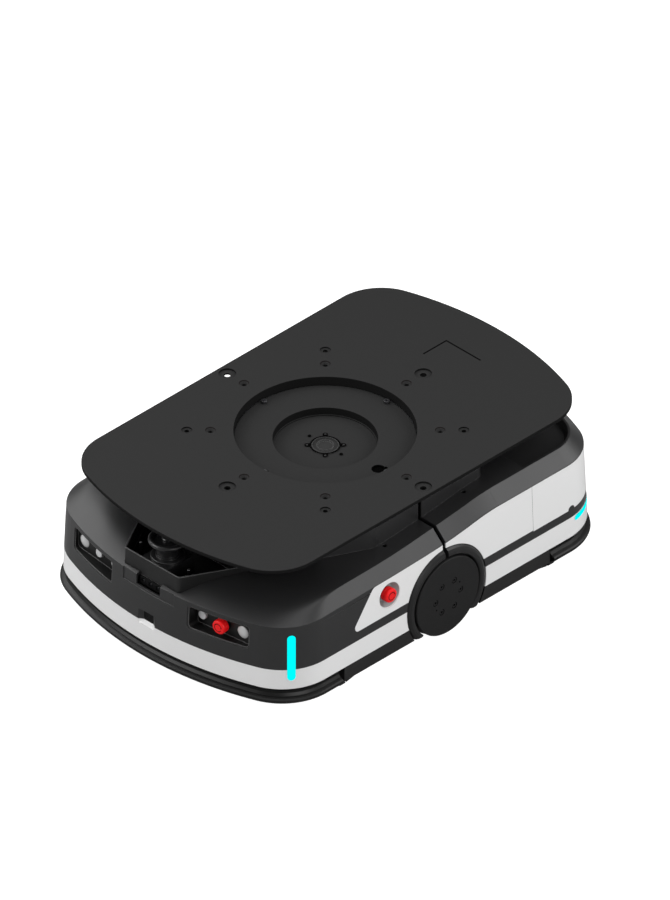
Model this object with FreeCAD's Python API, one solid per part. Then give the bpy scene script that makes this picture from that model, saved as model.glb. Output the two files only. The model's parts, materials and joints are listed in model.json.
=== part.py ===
import FreeCAD, Part
import math
import os
from FreeCAD import Vector

# Low autonomous mobile robot that drives under a rack and lifts it on a turning plate.
# Millimetres. +X is the front, +Y the left side, +Z up. The origin is on the floor, midway between
# the two drive wheels.

# Body outline in plan, at the foot of the white band
body_half_length = 505.0
body_half_width = 342.0
end_radius = 740.0
corner_radius = 120.0
wall_lean = 0.04  # how far the walls lean inwards, mm per mm of height

# Heights over the floor
skirt_bottom = 26.0
band_bottom = 59.0
band_top = 104.0
panel_bottom = 125.0
wrap_panel_drop = 2.5
belt_front = 203.5
belt_middle = 214.5
belt_rear = 230.0
belt_sag = 4.4  # how far the belt hangs under its middle height, ahead of the wheel
deck_middle = 242.0
shoulder = 27.0  # width and height of the bevel along the rear edge
front_tilt = 0.8  # degrees by which the front roof rises towards the back
front_join_x = 183.0
rear_join_x = -150.0

# Roof of the front cover. Each ring: how far in from the front wall, and how far over the belt.
# Along the sides the same rings make a bevel at 45 degrees.
roof_rings = [(-24.0, -10.0), (0.0, 0.0), (26.0, 8.5), (46.0, 15.5), (66.0, 20.3), (90.0, 23.2),
              (118.0, 24.5)]
roof_corner_loss = 0.5  # share of a ring's mean inset that its corner radius loses

# Shells
cover_wall = 6.0
panel_thick = 2.5
seam = 0.6
split_front_x = 6.5  # the front cover starts here
split_rear_x = -2.5  # the rear cover ends here
seat_gap = 0.3
running_gap = 0.05

# Raised housing round the lift, in the middle of the deck
housing_half_x = 183.0
housing_from_side = 75.0
housing_corner = 25.0
housing_top = 280.0
housing_wall = 4.0
housing_bore = 172.0
housing_nose = 57.0  # how far its front reaches past its rear half length
housing_slant_x = 110.0  # length and width of the slanted front corners
housing_slant_y = 57.0
deck_screw_x = 111.0
deck_screw_y = 277.0
deck_screw_radius = 5.0

# Side panels
panel_toe_gap = 30.0  # from the bumper's end to the toe of the front panel
panel_slant = 65.0
panel_corner = 10.0
panel_peak_corner = 15.0
wrap_seam_from_end = 260.0
belt_line = 1.5  # dark line left between a panel and the belt
notch_from_end = 153.0
notch_radius = 9.0

# Drive wheels
wheel_radius = 90.0
wheel_from_side = 69.0
tyre_width = 60.0
tyre_edge = 5.0
rim_radius = 70.0
cap_radius = 87.5
cap_proud = 3.0
cap_thick = 8.0
cap_edge = 1.5
cap_pitch_radius = 35.0
cap_screw_radius = 7.0
cap_screw_depth = 1.5
cap_pin_radius = 2.2
axle_radius = 15.0
hub_boss_radius = 28.0
hub_web_radius = 44.0

# Wheel arches
arch_liner_radius = 97.0
arch_mouth = 91.0
arch_outer = 111.0
arch_proud = 2.5
arch_liner = 2.5
arch_liner_depth = 75.0
# Section of the bead, from its mouth to its outer edge: share of its width, depth under its crest
arch_bead = [(0.0, 8.0), (0.0, 4.6), (0.1, 1.4), (0.3, 0.0), (0.55, 0.2), (0.8, 2.8), (0.95, 6.8),
             (1.0, 11.5)]

# Drive motors, which also carry the pivot of the front half
motor_radius = 50.0
motor_length = 110.0
motor_to_wheel = 35.0
motor_waist = 22.0
motor_plate = 10.0
motor_plate_half = 120.0
flange_radius = 62.0
flange_thick = 8.0
journal_radius = 48.0
journal_length = 16.0
arm_ring_radius = 66.0
arm_height = 60.0
arm_root_x = 30.0

# Frames
floor_bottom = 30.0
floor_thick = 6.0
frame_inset = 24.0
frame_edge = 4.0
bay_front_x = 168.0
rib_thick = 5.0
rib_top = 140.0
front_frame_x = 188.0
rear_side_x = -104.0
upstand = 40.0
bulkhead_thick = 6.0
bulkhead_top = 125.0
bulkhead_from_side = 40.0

# Casters
caster_from_end = 160.0
caster_from_side = 130.0
caster_radius = 37.5
caster_width = 32.0
caster_trail = 28.0
caster_well = 78.0
caster_wall = 4.0
caster_top = 98.0
caster_plate = 6.0
caster_plate_half = 45.0
crown_radius = 30.0
crown_thick = 11.0
kingpin_radius = 9.0
cheek = 4.0
caster_axle = 6.0

# Skirts and bumpers
skirt_wall = 5.0
skirt_flange = 45.0
bumper_from_end = 209.0
bumper_stroke = 6.0
bumper_back = 12.0
lip_height = 31.0
# Section of the bumper: how far it stands out past its back, and its height
bumper_section = [(9.0, 56.5), (5.0, 50.5), (4.5, 44.5), (8.5, 39.0), (15.0, 36.5), (18.0, 34.5),
                  (18.6, 31.0), (17.0, 27.5), (13.5, 26.0), (0.0, 26.0)]
bumper_top = 56.5
tab_length = 40.0
tab_flat = 10.0
tab_thick = 6.0
tab_hole = 2.5

# Load plate
plate_half_length = 485.0
plate_shift = -4.0  # the plate's middle lies this far behind the turning centre
plate_half_width = 300.0
plate_end_radius = 700.0
plate_corner = 110.0
plate_top = 322.0
plate_thick = 8.0
plate_edge = 0.8
plate_bore = 182.7
inner_circle = 228.0
inner_hole = 4.5
inner_sink = 10.5
outer_circle = 275.0
large_hole = 6.7
large_sink = 17.5
large_sink_depth = 4.0
small_hole = 5.0
small_sink = 11.0
small_sink_depth = 3.0
groove_from_rear = 101.0
groove_reach_x = 65.0
groove_half_y = 48.0
groove_width = 1.6
groove_depth = 0.6

# Turntable under the plate
spacer_outer = 245.0
spacer_thick = 12.0
race_split = 184.5
race_gap = 0.4
race_inner = 160.0
race_height = 14.0
gear_module = 4.0
gear_teeth = 100
pinion_teeth = 12
gear_backlash = 0.35
ring_top_drop = 20.0
ring_inner = 105.0
ring_plate = 4.0
ring_to_bore = 1.7
ring_screw_circle = 172.0
ring_screw_radius = 3.0
ring_screw_head = 6.0
pocket_drop = 18.0
cable_hole = 14.0
cable_hole_y = 149.0
camera_radius = 28.5
camera_lens = 15.0
camera_gap = 1.5
camera_flange = 40.0
camera_length = 40.0
ear_circle = 35.0
ear_radius = 4.0

# Lift
lift_stroke = 60.0
table_top = 206.0
table_thick = 10.0
table_in_housing = 18.0  # from the housing's rear half length and side to the table
table_side_gap = 31.0
table_corner = 25.0
table_bore = 108.0
neck_radius = 164.0
neck_wall = 6.0
screw_x = 125.0
screw_radius = 10.0
nut_radius = 19.0
nut_length = 34.0
pulley_radius = 26.0
pulley_height = 14.0
screw_bearing = 24.0
post_from_table_x = 27.0
post_from_table_y = 40.0
post_radius = 10.0
post_top = 268.0
bush_radius = 17.0
bush_below = 30.0
bush_above = 3.0
lift_motor_y = 0.0
lift_motor_radius = 38.0
lift_motor_low = 70.0
lift_motor_length = 80.0
bridge_half = 46.0
bridge_thick = 4.0
slew_motor_radius = 24.0
slew_motor_below = 26.0
slew_motor_above = 3.0
slew_motor_flat = 20.0
pinion_shaft = 8.0
pinion_clearance = 14.0

# Lidar and its tray
tray_from_end = 17.0
tray_front_half = 76.0
tray_length = 136.0
tray_flare = 28.0
tray_bottom = 200.0
tray_top = 244.0
tray_wall = 2.5
tray_corner = 9.0
lidar_from_tray = 46.0
lidar_foot_half = 36.0
lidar_foot_back = 40.0
lidar_foot_top = 237.0
lidar_sink = 1.0
# Outline of the scanner over its foot: radius, height over the foot
lidar_outline = [(0.0, 0.0), (34.7, 0.0), (34.7, 5.0), (33.5, 6.0), (24.5, 6.0), (24.5, 8.0), (21.0, 9.5),
                 (21.0, 26.0), (24.5, 30.0), (32.0, 33.5), (37.0, 36.5), (39.4, 39.0), (40.0, 41.5),
                 (39.2, 44.2), (37.0, 46.2), (34.5, 46.8), (31.8, 46.0), (30.0, 43.8), (29.5, 41.0),
                 (12.5, 41.0), (12.5, 45.5), (10.5, 47.5), (0.0, 47.5)]

# Front face
window_from_side = 96.0
window_width = 141.0
window_low = 141.0
window_high = 195.0
window_corner = 9.0
window_wall = 3.0
window_back = 6.0
window_inner_depth = 39.5  # from the body's end to the window's back wall, at its two edges
window_outer_depth = 55.5
control_z = 167.5
button_from_edge = 17.5  # places along the window, from its inner edge
middle_button_from_edge = 67.0
estop_from_edge = 69.0
lens_from_edge = 117.0
button_radius = 9.5
button_stroke = 1.5
button_height = 6.0
button_foot = 4.0
lens_radius = 13.5
lens_height = 5.0
lens_sphere = 24.0
notch_half = 71.0
notch_low = 176.0
notch_depth = 1.5
slot_half = 33.0
slot_low = 181.0
eye_z = 116.0
eye_half_y = 13.5
eye_half_z = 12.0
eye_depth = 7.0
eye_flare = 10.0
eye_corner = 5.0
eye_body = 43.0
eye_boss_half = 30.0

# Emergency stops
estop_head = 15.5
estop_height = 20.5
estop_skirt = 4.6  # from the dish to the head's lower rim
estop_stem = 8.0
estop_length = 16.0
estop_collar = 13.0
estop_collar_height = 2.5
estop_barrel = 11.0
estop_stroke = 4.0
side_estop_x = 157.0
side_estop_z = 168.0
dish_mouth = 28.5
dish_floor = 20.0
dish_depth = 14.0
dish_wall = 2.5

# Light strips
front_light_shift = 68.0  # how far the strip sits round the corner, towards the front
front_light_half = 8.5
front_light_low = 79.0
front_light_high = 185.0
rear_light_low = 90.0
rear_light_high = 102.0
rear_light_from_end = 144.0
rear_light_from_side = 152.0
light_depth = 2.2
light_proud = 0.5

# Battery and electronics
battery_from_end = 65.0
battery_to_rib = 22.0
battery_half_y = 112.0
battery_height = 120.0
computer_length = 126.0
computer_half_y = 112.0
computer_height = 90.0
computer_gap = 10.0
fin_pitch = 12.0
fin_thick = 4.0

# Worked out
housing_half_y = body_half_width - housing_from_side
wrap_seam_x = wrap_seam_from_end - body_half_length
notch_x = notch_from_end - body_half_length
bumper_end_x = body_half_length - bumper_from_end
panel_toe_x = bumper_end_x - panel_toe_gap
panel_peak_x = panel_toe_x - panel_slant
wheel_z = wheel_radius
wheel_inner_y = body_half_width - wheel_from_side
wheel_outer_y = wheel_inner_y + tyre_width
cap_outer_y = body_half_width + cap_proud
arch_crest = body_half_width + arch_proud
arch_root_y = arch_crest - arch_bead[-1][1]
arch_liner_y = body_half_width - arch_liner_depth - 1.0
motor_seat_y = wheel_inner_y - motor_to_wheel
motor_plate_y = motor_seat_y - motor_plate
motor_inner_y = motor_plate_y - motor_length
journal_y = motor_seat_y + flange_thick
caster_x = body_half_length - caster_from_end
caster_y = body_half_width - caster_from_side
floor_top = floor_bottom + floor_thick
plate_bottom = plate_top - plate_thick
spacer_bottom = plate_bottom - spacer_thick
ring_top = plate_top - ring_top_drop
pocket_floor = ring_top - pocket_drop
groove_x = plate_shift - plate_half_length + groove_from_rear
gear_pitch = gear_module * gear_teeth / 2
pinion_pitch = gear_module * pinion_teeth / 2
pinion_y = -(gear_pitch + pinion_pitch)
table_half_x = housing_half_x - table_in_housing
table_half_y = housing_half_y - table_side_gap
post_x = table_half_x - post_from_table_x
post_y = table_half_y - post_from_table_y
tray_front_x = body_half_length - tray_from_end
tray_back_x = tray_front_x - tray_length
lidar_x = tray_front_x - lidar_from_tray
window_outer_y = body_half_width - window_from_side
window_inner_y = window_outer_y - window_width
button_y = window_inner_y + button_from_edge
middle_button_y = window_inner_y + middle_button_from_edge
estop_y = window_inner_y + estop_from_edge
lens_y = window_inner_y + lens_from_edge
window_inner_x = body_half_length - window_inner_depth
window_outer_x = body_half_length - window_outer_depth
rear_light_x = rear_light_from_end - body_half_length
rear_light_y = body_half_width - rear_light_from_side
battery_x0 = battery_from_end - body_half_length
battery_x1 = -bay_front_x - battery_to_rib
computer_x0 = front_frame_x + bulkhead_thick + computer_gap
computer_x1 = computer_x0 + computer_length
reach = 2 * body_half_length  # longer than anything in the model


def box(x0, x1, y0, y1, z0, z1):
    return Part.makeBox(x1 - x0, y1 - y0, z1 - z0, Vector(x0, y0, z0))


def upright(radius, z0, z1, x=0.0, y=0.0):
    return Part.makeCylinder(radius, z1 - z0, Vector(x, y, z0))


def tube(outer, inner, z0, z1, x=0.0, y=0.0):
    return upright(outer, z0, z1, x, y).cut(upright(inner, z0 - 1, z1 + 1, x, y))


def across(radius, y0, y1, x, z):
    return Part.makeCylinder(radius, y1 - y0, Vector(x, y0, z), Vector(0, 1, 0))


def fused(shapes):
    return shapes[0].multiFuse(shapes[1:]).removeSplitter()


def group(shapes):
    return Part.makeCompound([solid for shape in shapes for solid in shape.Solids])


def other_side(shape):
    return shape.mirror(Vector(0, 0, 0), Vector(0, 1, 0))


def pair(shape):
    return group([shape, other_side(shape)])


def ring_places(radius, count, first=0.0):
    step = 2 * math.pi / count
    start = math.radians(first)
    angles = [start + i * step for i in range(count)]
    return [(radius * math.cos(angle), radius * math.sin(angle)) for angle in angles]


def export(name, shape):
    shape.exportStep("parts/" + name + ".step")
    print(name, len(shape.Solids), round(shape.Volume / 1000), "cm3")


def rounded_wire(corners, place):
    """Closed wire through corners (u, v, radius), each rounded by its radius; place maps (u, v) to 3-D."""
    arcs = []
    for i, (u, v, radius) in enumerate(corners):
        before = corners[i - 1]
        after = corners[(i + 1) % len(corners)]
        back = Vector(before[0] - u, before[1] - v, 0).normalize()
        ahead = Vector(after[0] - u, after[1] - v, 0).normalize()
        half = back.getAngle(ahead) / 2
        corner = Vector(u, v, 0)
        if radius > 0:
            run = radius / math.tan(half)
            middle = (back + ahead).normalize() * (radius / math.sin(half) - radius)
            arcs.append((corner + back * run, corner + middle, corner + ahead * run))
        else:
            arcs.append((corner, None, corner))
    edges = []
    for i, (start, middle, end) in enumerate(arcs):
        if middle is not None:
            points = [place(p.x, p.y) for p in (start, middle, end)]
            edges.append(Part.Arc(*points).toShape())
        following = arcs[(i + 1) % len(arcs)][0]
        if end.distanceToPoint(following) > 1e-6:
            edges.append(Part.makeLine(place(end.x, end.y), place(following.x, following.y)))
    return Part.Wire(edges)


def flat_prism(corners, z0, z1):
    wire = rounded_wire(corners, lambda u, v: Vector(u, v, z0))
    return Part.Face(wire).extrude(Vector(0, 0, z1 - z0))


def side_prism(corners, y0, y1):
    """Solid whose side view (x, z) is the rounded outline."""
    wire = rounded_wire(corners, lambda u, v: Vector(u, y0, v))
    return Part.Face(wire).extrude(Vector(0, y1 - y0, 0))


def front_prism(corners, x0, x1):
    """Solid whose front view (y, z) is the rounded outline."""
    wire = rounded_wire(corners, lambda u, v: Vector(x0, u, v))
    return Part.Face(wire).extrude(Vector(x1 - x0, 0, 0))


def rectangle(u0, u1, v0, v1, radius):
    return [(u0, v0, radius), (u1, v0, radius), (u1, v1, radius), (u0, v1, radius)]


def turned(points, x=0.0, y=0.0):
    """Solid of revolution about a vertical axis through (x, y), from a closed (radius, z) outline."""
    line = [Vector(x + radius, y, z) for radius, z in points]
    face = Part.Face(Part.makePolygon(line + line[:1]))
    return face.revolve(Vector(x, y, 0), Vector(0, 0, 1), 360)


def plan_outline(half_length, half_width, end_arc, corner, z):
    """Outline with straight sides, bowed ends and round corners, all tangent."""
    centre_x = half_length - end_arc
    corner_y = half_width - corner
    corner_x = centre_x + math.sqrt((end_arc - corner) ** 2 - corner_y ** 2)
    angle = math.atan2(corner_y, corner_x - centre_x)
    middle = (angle + math.pi / 2) / 2
    end_x = centre_x + end_arc * math.cos(angle)
    end_y = end_arc * math.sin(angle)
    bow_x = corner_x + corner * math.cos(middle)
    bow_y = corner_y + corner * math.sin(middle)
    edges = []
    for side in (1, -1):
        left = Vector(side * corner_x, side * half_width, z)
        right = Vector(side * corner_x, -side * half_width, z)
        edges.append(Part.makeLine(Vector(-side * corner_x, side * half_width, z), left))
        edges.append(Part.Arc(left, Vector(side * bow_x, side * bow_y, z),
                              Vector(side * end_x, side * end_y, z)).toShape())
        edges.append(Part.Arc(Vector(side * end_x, side * end_y, z), Vector(side * half_length, 0, z),
                              Vector(side * end_x, -side * end_y, z)).toShape())
        edges.append(Part.Arc(Vector(side * end_x, -side * end_y, z),
                              Vector(side * bow_x, -side * bow_y, z), right).toShape())
    return Part.Wire(edges)


def outline(inset, z):
    """Body outline moved inwards by inset; every curve stays concentric."""
    corner = max(corner_radius - inset, 12.0)
    return plan_outline(body_half_length - inset, body_half_width - inset, end_radius - inset, corner, z)


def lean(z):
    return wall_lean * (z - band_bottom)


def leaning_prism(inset, z0, z1):
    return Part.makeLoft([outline(inset + lean(z0), z0), outline(inset + lean(z1), z1)], True, True)


def straight_prism(inset, z0, z1):
    return Part.Face(outline(inset, z0)).extrude(Vector(0, 0, z1 - z0))


def skin(z0, z1, depth, proud=0.0):
    """Layer of the body's leaning wall, from its surface inwards."""
    return leaning_prism(-proud, z0, z1).cut(leaning_prism(depth, z0 - 1, z1 + 1))


def front_half(shape):
    return shape.common(box(split_front_x, reach, -reach, reach, -reach, reach))


def rear_half(shape):
    return shape.common(box(-reach, split_rear_x, -reach, reach, -reach, reach))


def edge_lean():
    """How far the wall has leaned in where it meets the bevel, ahead of the rear end."""
    return lean(belt_middle)


def front_edge_x():
    return body_half_length - edge_lean()


def front_belt(x):
    return belt_front + math.tan(math.radians(front_tilt)) * (front_edge_x() - x)


def roof_rise():
    return roof_rings[-1][1]


def belt_points():
    """Side view of the edge where the wall meets the bevel, from the front join to the rear end."""
    rise = belt_rear - belt_middle
    return [(front_join_x, front_belt(front_join_x)), (front_join_x / 2, belt_middle - belt_sag),
            (0.0, belt_middle), (0.43 * rear_join_x, belt_middle + 0.45 * rise), (rear_join_x, belt_rear)]


def deck_points():
    rise = belt_rear + shoulder - deck_middle
    return [(front_join_x, front_belt(front_join_x) + roof_rise()), (0.0, deck_middle),
            (0.47 * rear_join_x, deck_middle + 0.5 * rise), (rear_join_x, belt_rear + shoulder)]


def top_curve(spots):
    """Smooth curve that leaves the front roof along its tilt and ends level at the rear."""
    ahead = Vector(-math.cos(math.radians(front_tilt)), 0, math.sin(math.radians(front_tilt)))
    curve = Part.BSplineCurve()
    curve.interpolate(spots, InitialTangent=ahead, FinalTangent=Vector(-1, 0, 0))
    return curve


def sky_face(points, y, lower):
    """Upright face above a side-view curve that ends level at the rear."""
    high = plate_top + 100
    spots = [Vector(x, y, z - lower) for x, z in points]
    curve = top_curve(spots)
    tail = Vector(-reach, y, spots[-1].z)
    corners = [spots[-1], tail, Vector(-reach, y, high), Vector(spots[0].x, y, high), spots[0]]
    return Part.Face(Part.Wire([curve.toShape()] + Part.makePolygon(corners).Edges))


def side_sky(inset, drop):
    """What the bevel takes off the left side, behind the front join."""
    start = 12.0
    climb = body_half_width / 2
    wall_y = body_half_width - inset - edge_lean()
    face = sky_face(belt_points(), wall_y + start, drop + start)
    return face.extrude(Vector(0, -climb, climb))


def deck_sky(drop):
    return sky_face(deck_points(), -reach, drop).extrude(Vector(0, 2 * reach, 0))


def rear_sky(inset, drop):
    low = belt_rear - drop - 12.0
    high = belt_rear - drop + 70.0
    wall = inset + lean(belt_rear)
    cone = Part.makeLoft([outline(wall - 12.0, low), outline(wall + 70.0, high)], True, True)
    return box(-reach, rear_join_x, -reach, reach, low, high - 1).cut(cone)


def front_sky(inset, drop):
    """Over the front roof: soft at the front wall, a plain bevel along the sides."""
    wall = inset + edge_lean()
    rings = []
    for run, rise in roof_rings:
        corner = corner_radius - wall - roof_corner_loss * (run + rise)
        length = body_half_length - wall - run
        width = body_half_width - wall - rise
        rings.append(plan_outline(length, width, end_radius - wall - run, corner, belt_front + rise - drop))
    roof = Part.makeLoft(rings, True, False)
    roof.rotate(Vector(front_edge_x(), 0, belt_front), Vector(0, 1, 0), front_tilt)
    low = belt_front - drop - 8.0
    return box(front_join_x, reach, -reach, reach, low, low + 200).cut(roof)


def body_form(inset, drop, bottom):
    """Everything below the styled top, with the walls moved in by inset and the top down by drop."""
    form = leaning_prism(inset, bottom, belt_rear + shoulder + 4)
    bevel = side_sky(inset, drop)
    skies = [deck_sky(drop), rear_sky(inset, drop), front_sky(inset, drop)]
    return form.cut([bevel, other_side(bevel)] + skies)


def housing_block(inset, bottom, top):
    """Rectangle with slanted front corners; every wall moves in by inset."""
    rear = housing_half_x - inset
    nose = housing_half_x + housing_nose
    angle = math.atan2(housing_slant_y, housing_slant_x)
    y = housing_half_y - inset
    slant_x = nose - housing_slant_x - inset * math.tan(angle / 2)
    slant_y = housing_half_y - housing_slant_y - inset * math.tan(math.pi / 4 - angle / 2)
    radius = housing_corner - inset
    half = [(-rear, y, radius), (slant_x, y, radius), (nose - inset, slant_y, radius)]
    corners = [(u, -v, r) for u, v, r in half] + half[::-1]
    return flat_prism(corners, bottom, top)


def dish_rim(extra):
    """Shallow dish in the rear deck, inside the bevelled rim."""
    wall = lean(belt_rear) + shoulder
    top = belt_rear + shoulder
    rings = [outline(wall + 4.0 - extra, top + 1), outline(wall + 12.0 - extra, top - 16.0 - extra)]
    dish = Part.makeLoft(rings, True, True)
    return dish.common(box(-reach, wrap_seam_x - cover_wall + extra, -reach, reach, 0, reach))


def cover_shell():
    foot = panel_bottom + 25
    outer = body_form(0.0, 0.0, band_bottom).fuse(housing_block(0.0, foot, housing_top))
    outer = outer.cut(dish_rim(0.0))
    inner = body_form(cover_wall, cover_wall, band_bottom - 5).cut(dish_rim(cover_wall))
    inner = inner.fuse(housing_block(housing_wall, foot - 30, housing_top - housing_wall))
    low = housing_top - 80
    high = housing_top + 20
    bore = upright(housing_bore, low, high)
    pinion_hole = upright(pinion_clearance, low, high, 0.0, pinion_y)
    screw_holes = [upright(deck_screw_radius, low, housing_top, x, y)
                   for x in (deck_screw_x, -deck_screw_x) for y in (deck_screw_y, -deck_screw_y)]
    return outer.cut([inner, bore, pinion_hole] + screw_holes)


def belt_region(y0, y1):
    """Side view region under the belt, for cutting the panels to it."""
    points = belt_points()
    spots = [Vector(x, y0, z - belt_line) for x, z in points]
    curve = top_curve(spots)
    tail = Vector(-reach, y0, spots[-1].z)
    nose = Vector(reach, y0, front_belt(reach) - belt_line)
    ring = [spots[-1], tail, Vector(-reach, y0, 0), Vector(reach, y0, 0), nose, spots[0]]
    side = Part.Face(Part.Wire([curve.toShape()] + Part.makePolygon(ring).Edges))
    return side.extrude(Vector(0, y1 - y0, 0))


def arch_cut():
    return pair(across(arch_outer + seat_gap, motor_plate_y, arch_crest + 10, 0, wheel_z))


def front_panel_region():
    """Side view of the white panel ahead of the wheel: a slanted nose with a round toe and peak."""
    toe = (panel_toe_x, panel_bottom, panel_corner)
    peak = (panel_peak_x, front_belt(panel_peak_x) - belt_line, panel_peak_corner)
    join = (front_join_x, front_belt(front_join_x) - belt_line, 0)
    back = [(front_join_x, plate_top, 0), (0, plate_top, 0)]
    return side_prism([(0, panel_bottom, 0), toe, peak, join] + back, 0, reach)


def estop_dish(extra, depth):
    wall_y = body_half_width - lean(side_estop_z)
    cone = Part.makeCone(dish_mouth + extra, dish_floor + extra, depth,
                         Vector(side_estop_x, wall_y, side_estop_z), Vector(0, -1, 0))
    mouth = across(dish_mouth + extra, wall_y, wall_y + 20, side_estop_x, side_estop_z)
    return cone.fuse(mouth)


def front_left_panel(layer):
    sheet = front_half(layer).common([front_panel_region()]).common(belt_region(0, reach))
    cup = estop_dish(dish_wall, dish_depth + dish_wall).common(leaning_prism(1.0, band_top, belt_middle))
    hole = across(estop_barrel + 1.0, wheel_inner_y, reach, side_estop_x, side_estop_z)
    return sheet.fuse(cup).cut([estop_dish(0.0, dish_depth), hole, arch_cut()]).removeSplitter()


def rear_left_panel(layer):
    region = box(wrap_seam_x + seam, split_rear_x, 0, reach, panel_bottom, reach)
    return layer.common(region).common(belt_region(0, reach)).cut(arch_cut())


def rear_wrap_panel(layer):
    bottom = panel_bottom - wrap_panel_drop
    region = box(-reach, wrap_seam_x, -reach, reach, bottom, belt_rear - belt_line)
    notch = across(notch_radius, -reach, reach, notch_x, bottom)
    return layer.common(region).cut(notch)


def eye_front():
    return body_half_length - lean(eye_z)


def eye_hole(extra):
    return rectangle(-eye_half_y - extra, eye_half_y + extra, eye_z - eye_half_z - extra,
                     eye_z + eye_half_z + extra, eye_corner + extra)


def eye_recess():
    """Flared recess round the front camera window, through the band and the cover."""
    wall_x = eye_front()
    mouth = rectangle(-eye_half_y - eye_flare, eye_half_y + eye_flare,
                      eye_z - eye_half_z - 7, eye_z + eye_half_z + 2, eye_corner)
    rings = [rounded_wire(mouth, lambda u, v: Vector(wall_x, u, v)),
             rounded_wire(eye_hole(1.5), lambda u, v: Vector(wall_x - eye_depth, u, v))]
    flare = Part.makeLoft(rings, True, True)
    return flare.fuse(front_prism(mouth, wall_x, wall_x + 20))


def eye_window():
    """Straight way through the wall for the front camera."""
    return front_prism(eye_hole(0.0), eye_front() - 60, eye_front() + 20)


def eye_boss():
    """Thickening behind the wall that holds the front camera."""
    half = eye_boss_half
    frame = rectangle(-half, half, eye_z - half + 4, eye_z + half - 6, eye_corner + 1)
    return front_prism(frame, eye_front() - eye_depth - 6, eye_front() - cover_wall + 2)


def eye_tongue():
    """Part of the white band that lines the foot of the camera recess."""
    half = eye_half_y + eye_flare + 3
    block = box(eye_front() - eye_depth - 2, reach, -half, half, band_top - 16, band_top)
    return block.common(leaning_prism(0.0, band_bottom, band_top + 5))


def front_camera():
    wall_x = eye_front()
    front = front_prism(eye_hole(0.0), wall_x - 26, wall_x - eye_depth)
    glass_x = wall_x - eye_depth
    body = front_prism(rectangle(-22, 22, eye_z - 18, eye_z + 18, 4), glass_x - eye_body, glass_x - 6)
    pupils = [Part.makeCylinder(3.2, 3, Vector(glass_x - 1.0, y, eye_z - 2), Vector(1, 0, 0))
              for y in (-5, 5)]
    return fused([front, body]).cut(pupils)


def window_plane_x(y):
    slope = (window_outer_x - window_inner_x) / (window_outer_y - window_inner_y)
    return window_inner_x + slope * (y - window_inner_y)


def window_normal():
    run = window_outer_y - window_inner_y
    return Vector(run, window_inner_x - window_outer_x, 0).normalize()


def window_prism(grow):
    corners = rectangle(window_inner_y - grow, window_outer_y + grow, window_low - grow, window_high + grow,
                        window_corner + grow)
    return front_prism(corners, window_outer_x - 30, body_half_length + 20)


def behind_window(offset):
    """Space behind the window's slanted back wall, moved forward by offset."""
    y0 = window_inner_y - 40
    y1 = window_outer_y + 40
    back = window_outer_x - 100
    corners = [(back, y0, 0), (window_plane_x(y0) + offset, y0, 0), (window_plane_x(y1) + offset, y1, 0),
               (back, y1, 0)]
    return flat_prism(corners, 0, plate_top)


def on_window(y, shape):
    """Place a shape made about +X at the window's back wall."""
    placed = shape.copy()
    angle = math.degrees(math.atan2(window_normal().y, window_normal().x))
    placed.rotate(Vector(0, 0, 0), Vector(0, 0, 1), angle)
    placed.translate(Vector(window_plane_x(y), y, control_z))
    return placed


def rod(radius, x0, x1):
    return Part.makeCylinder(radius, x1 - x0, Vector(x0, 0, 0), Vector(1, 0, 0))


def control_panel(holes):
    """Tray set into the front face, open to the front, with a slanted back wall."""
    block = window_prism(0.0).common(leaning_prism(1.5, window_low - 10, window_high + 10))
    block = block.cut(behind_window(-window_back))
    hollow = window_prism(-window_wall).cut(behind_window(0.0))
    cuts = [hollow] + [on_window(y, rod(radius, -40, 5)) for y, radius in holes]
    return block.cut(cuts)


def push_button():
    back = -window_back - button_foot
    stem = rod(button_radius, back, button_height - 1.0)
    face = Vector(button_height - 1.0, 0, 0)
    cap = Part.makeCone(button_radius, button_radius - 1.0, 1.0, face, Vector(1, 0, 0))
    foot = rod(button_radius + 1.5, back, back + 2.0)
    return fused([stem, cap, foot])


def indicator_lens():
    ball = Part.makeSphere(lens_sphere, Vector(lens_height - lens_sphere, 0, 0))
    return ball.common(rod(lens_radius, -window_back, lens_height + 1))


def estop_collar_ring():
    bore = estop_stem + running_gap
    nut = rod(estop_collar, 0.0, estop_collar_height)
    barrel = rod(estop_barrel, -estop_length - 2, estop_collar_height)
    return fused([nut, barrel]).cut(rod(bore, -2 * estop_length, 2 * estop_length))


def estop_mushroom():
    """Push head: a cup over the collar, with a groove round it and a ring let into its face."""
    roof = estop_skirt + estop_collar_height + 0.4
    groove = estop_skirt + 5.0
    head = estop_head
    top = estop_height
    cup = [(-estop_length, 0), (-estop_length, estop_stem), (roof, estop_stem), (roof, estop_collar + 0.6),
           (estop_skirt, estop_collar + 0.6), (estop_skirt, head)]
    side = [(groove, head), (groove + 0.5, head - 0.7), (groove + 1.2, head - 0.7), (groove + 1.7, head)]
    crown = [(top - 3.6, head), (top - 1.3, head - 1.0), (top - 0.3, head - 2.6), (top, head - 4.5)]
    ring = [(top, 9.5), (top - 0.7, 9.0), (top - 0.7, 8.0), (top, 7.5), (top, 0)]
    line = [Vector(x, radius, 0) for x, radius in cup + side + crown + ring]
    face = Part.Face(Part.makePolygon(line + line[:1]))
    return face.revolve(Vector(0, 0, 0), Vector(1, 0, 0), 360)


def on_side(side, shape):
    """Place a shape made about +X in the side dish, facing outwards."""
    floor_y = body_half_width - lean(side_estop_z) - dish_depth
    placed = shape.copy()
    placed.rotate(Vector(0, 0, 0), Vector(0, 0, 1), 90)
    placed.translate(Vector(side_estop_x, floor_y, side_estop_z))
    return placed if side > 0 else other_side(placed)


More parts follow.
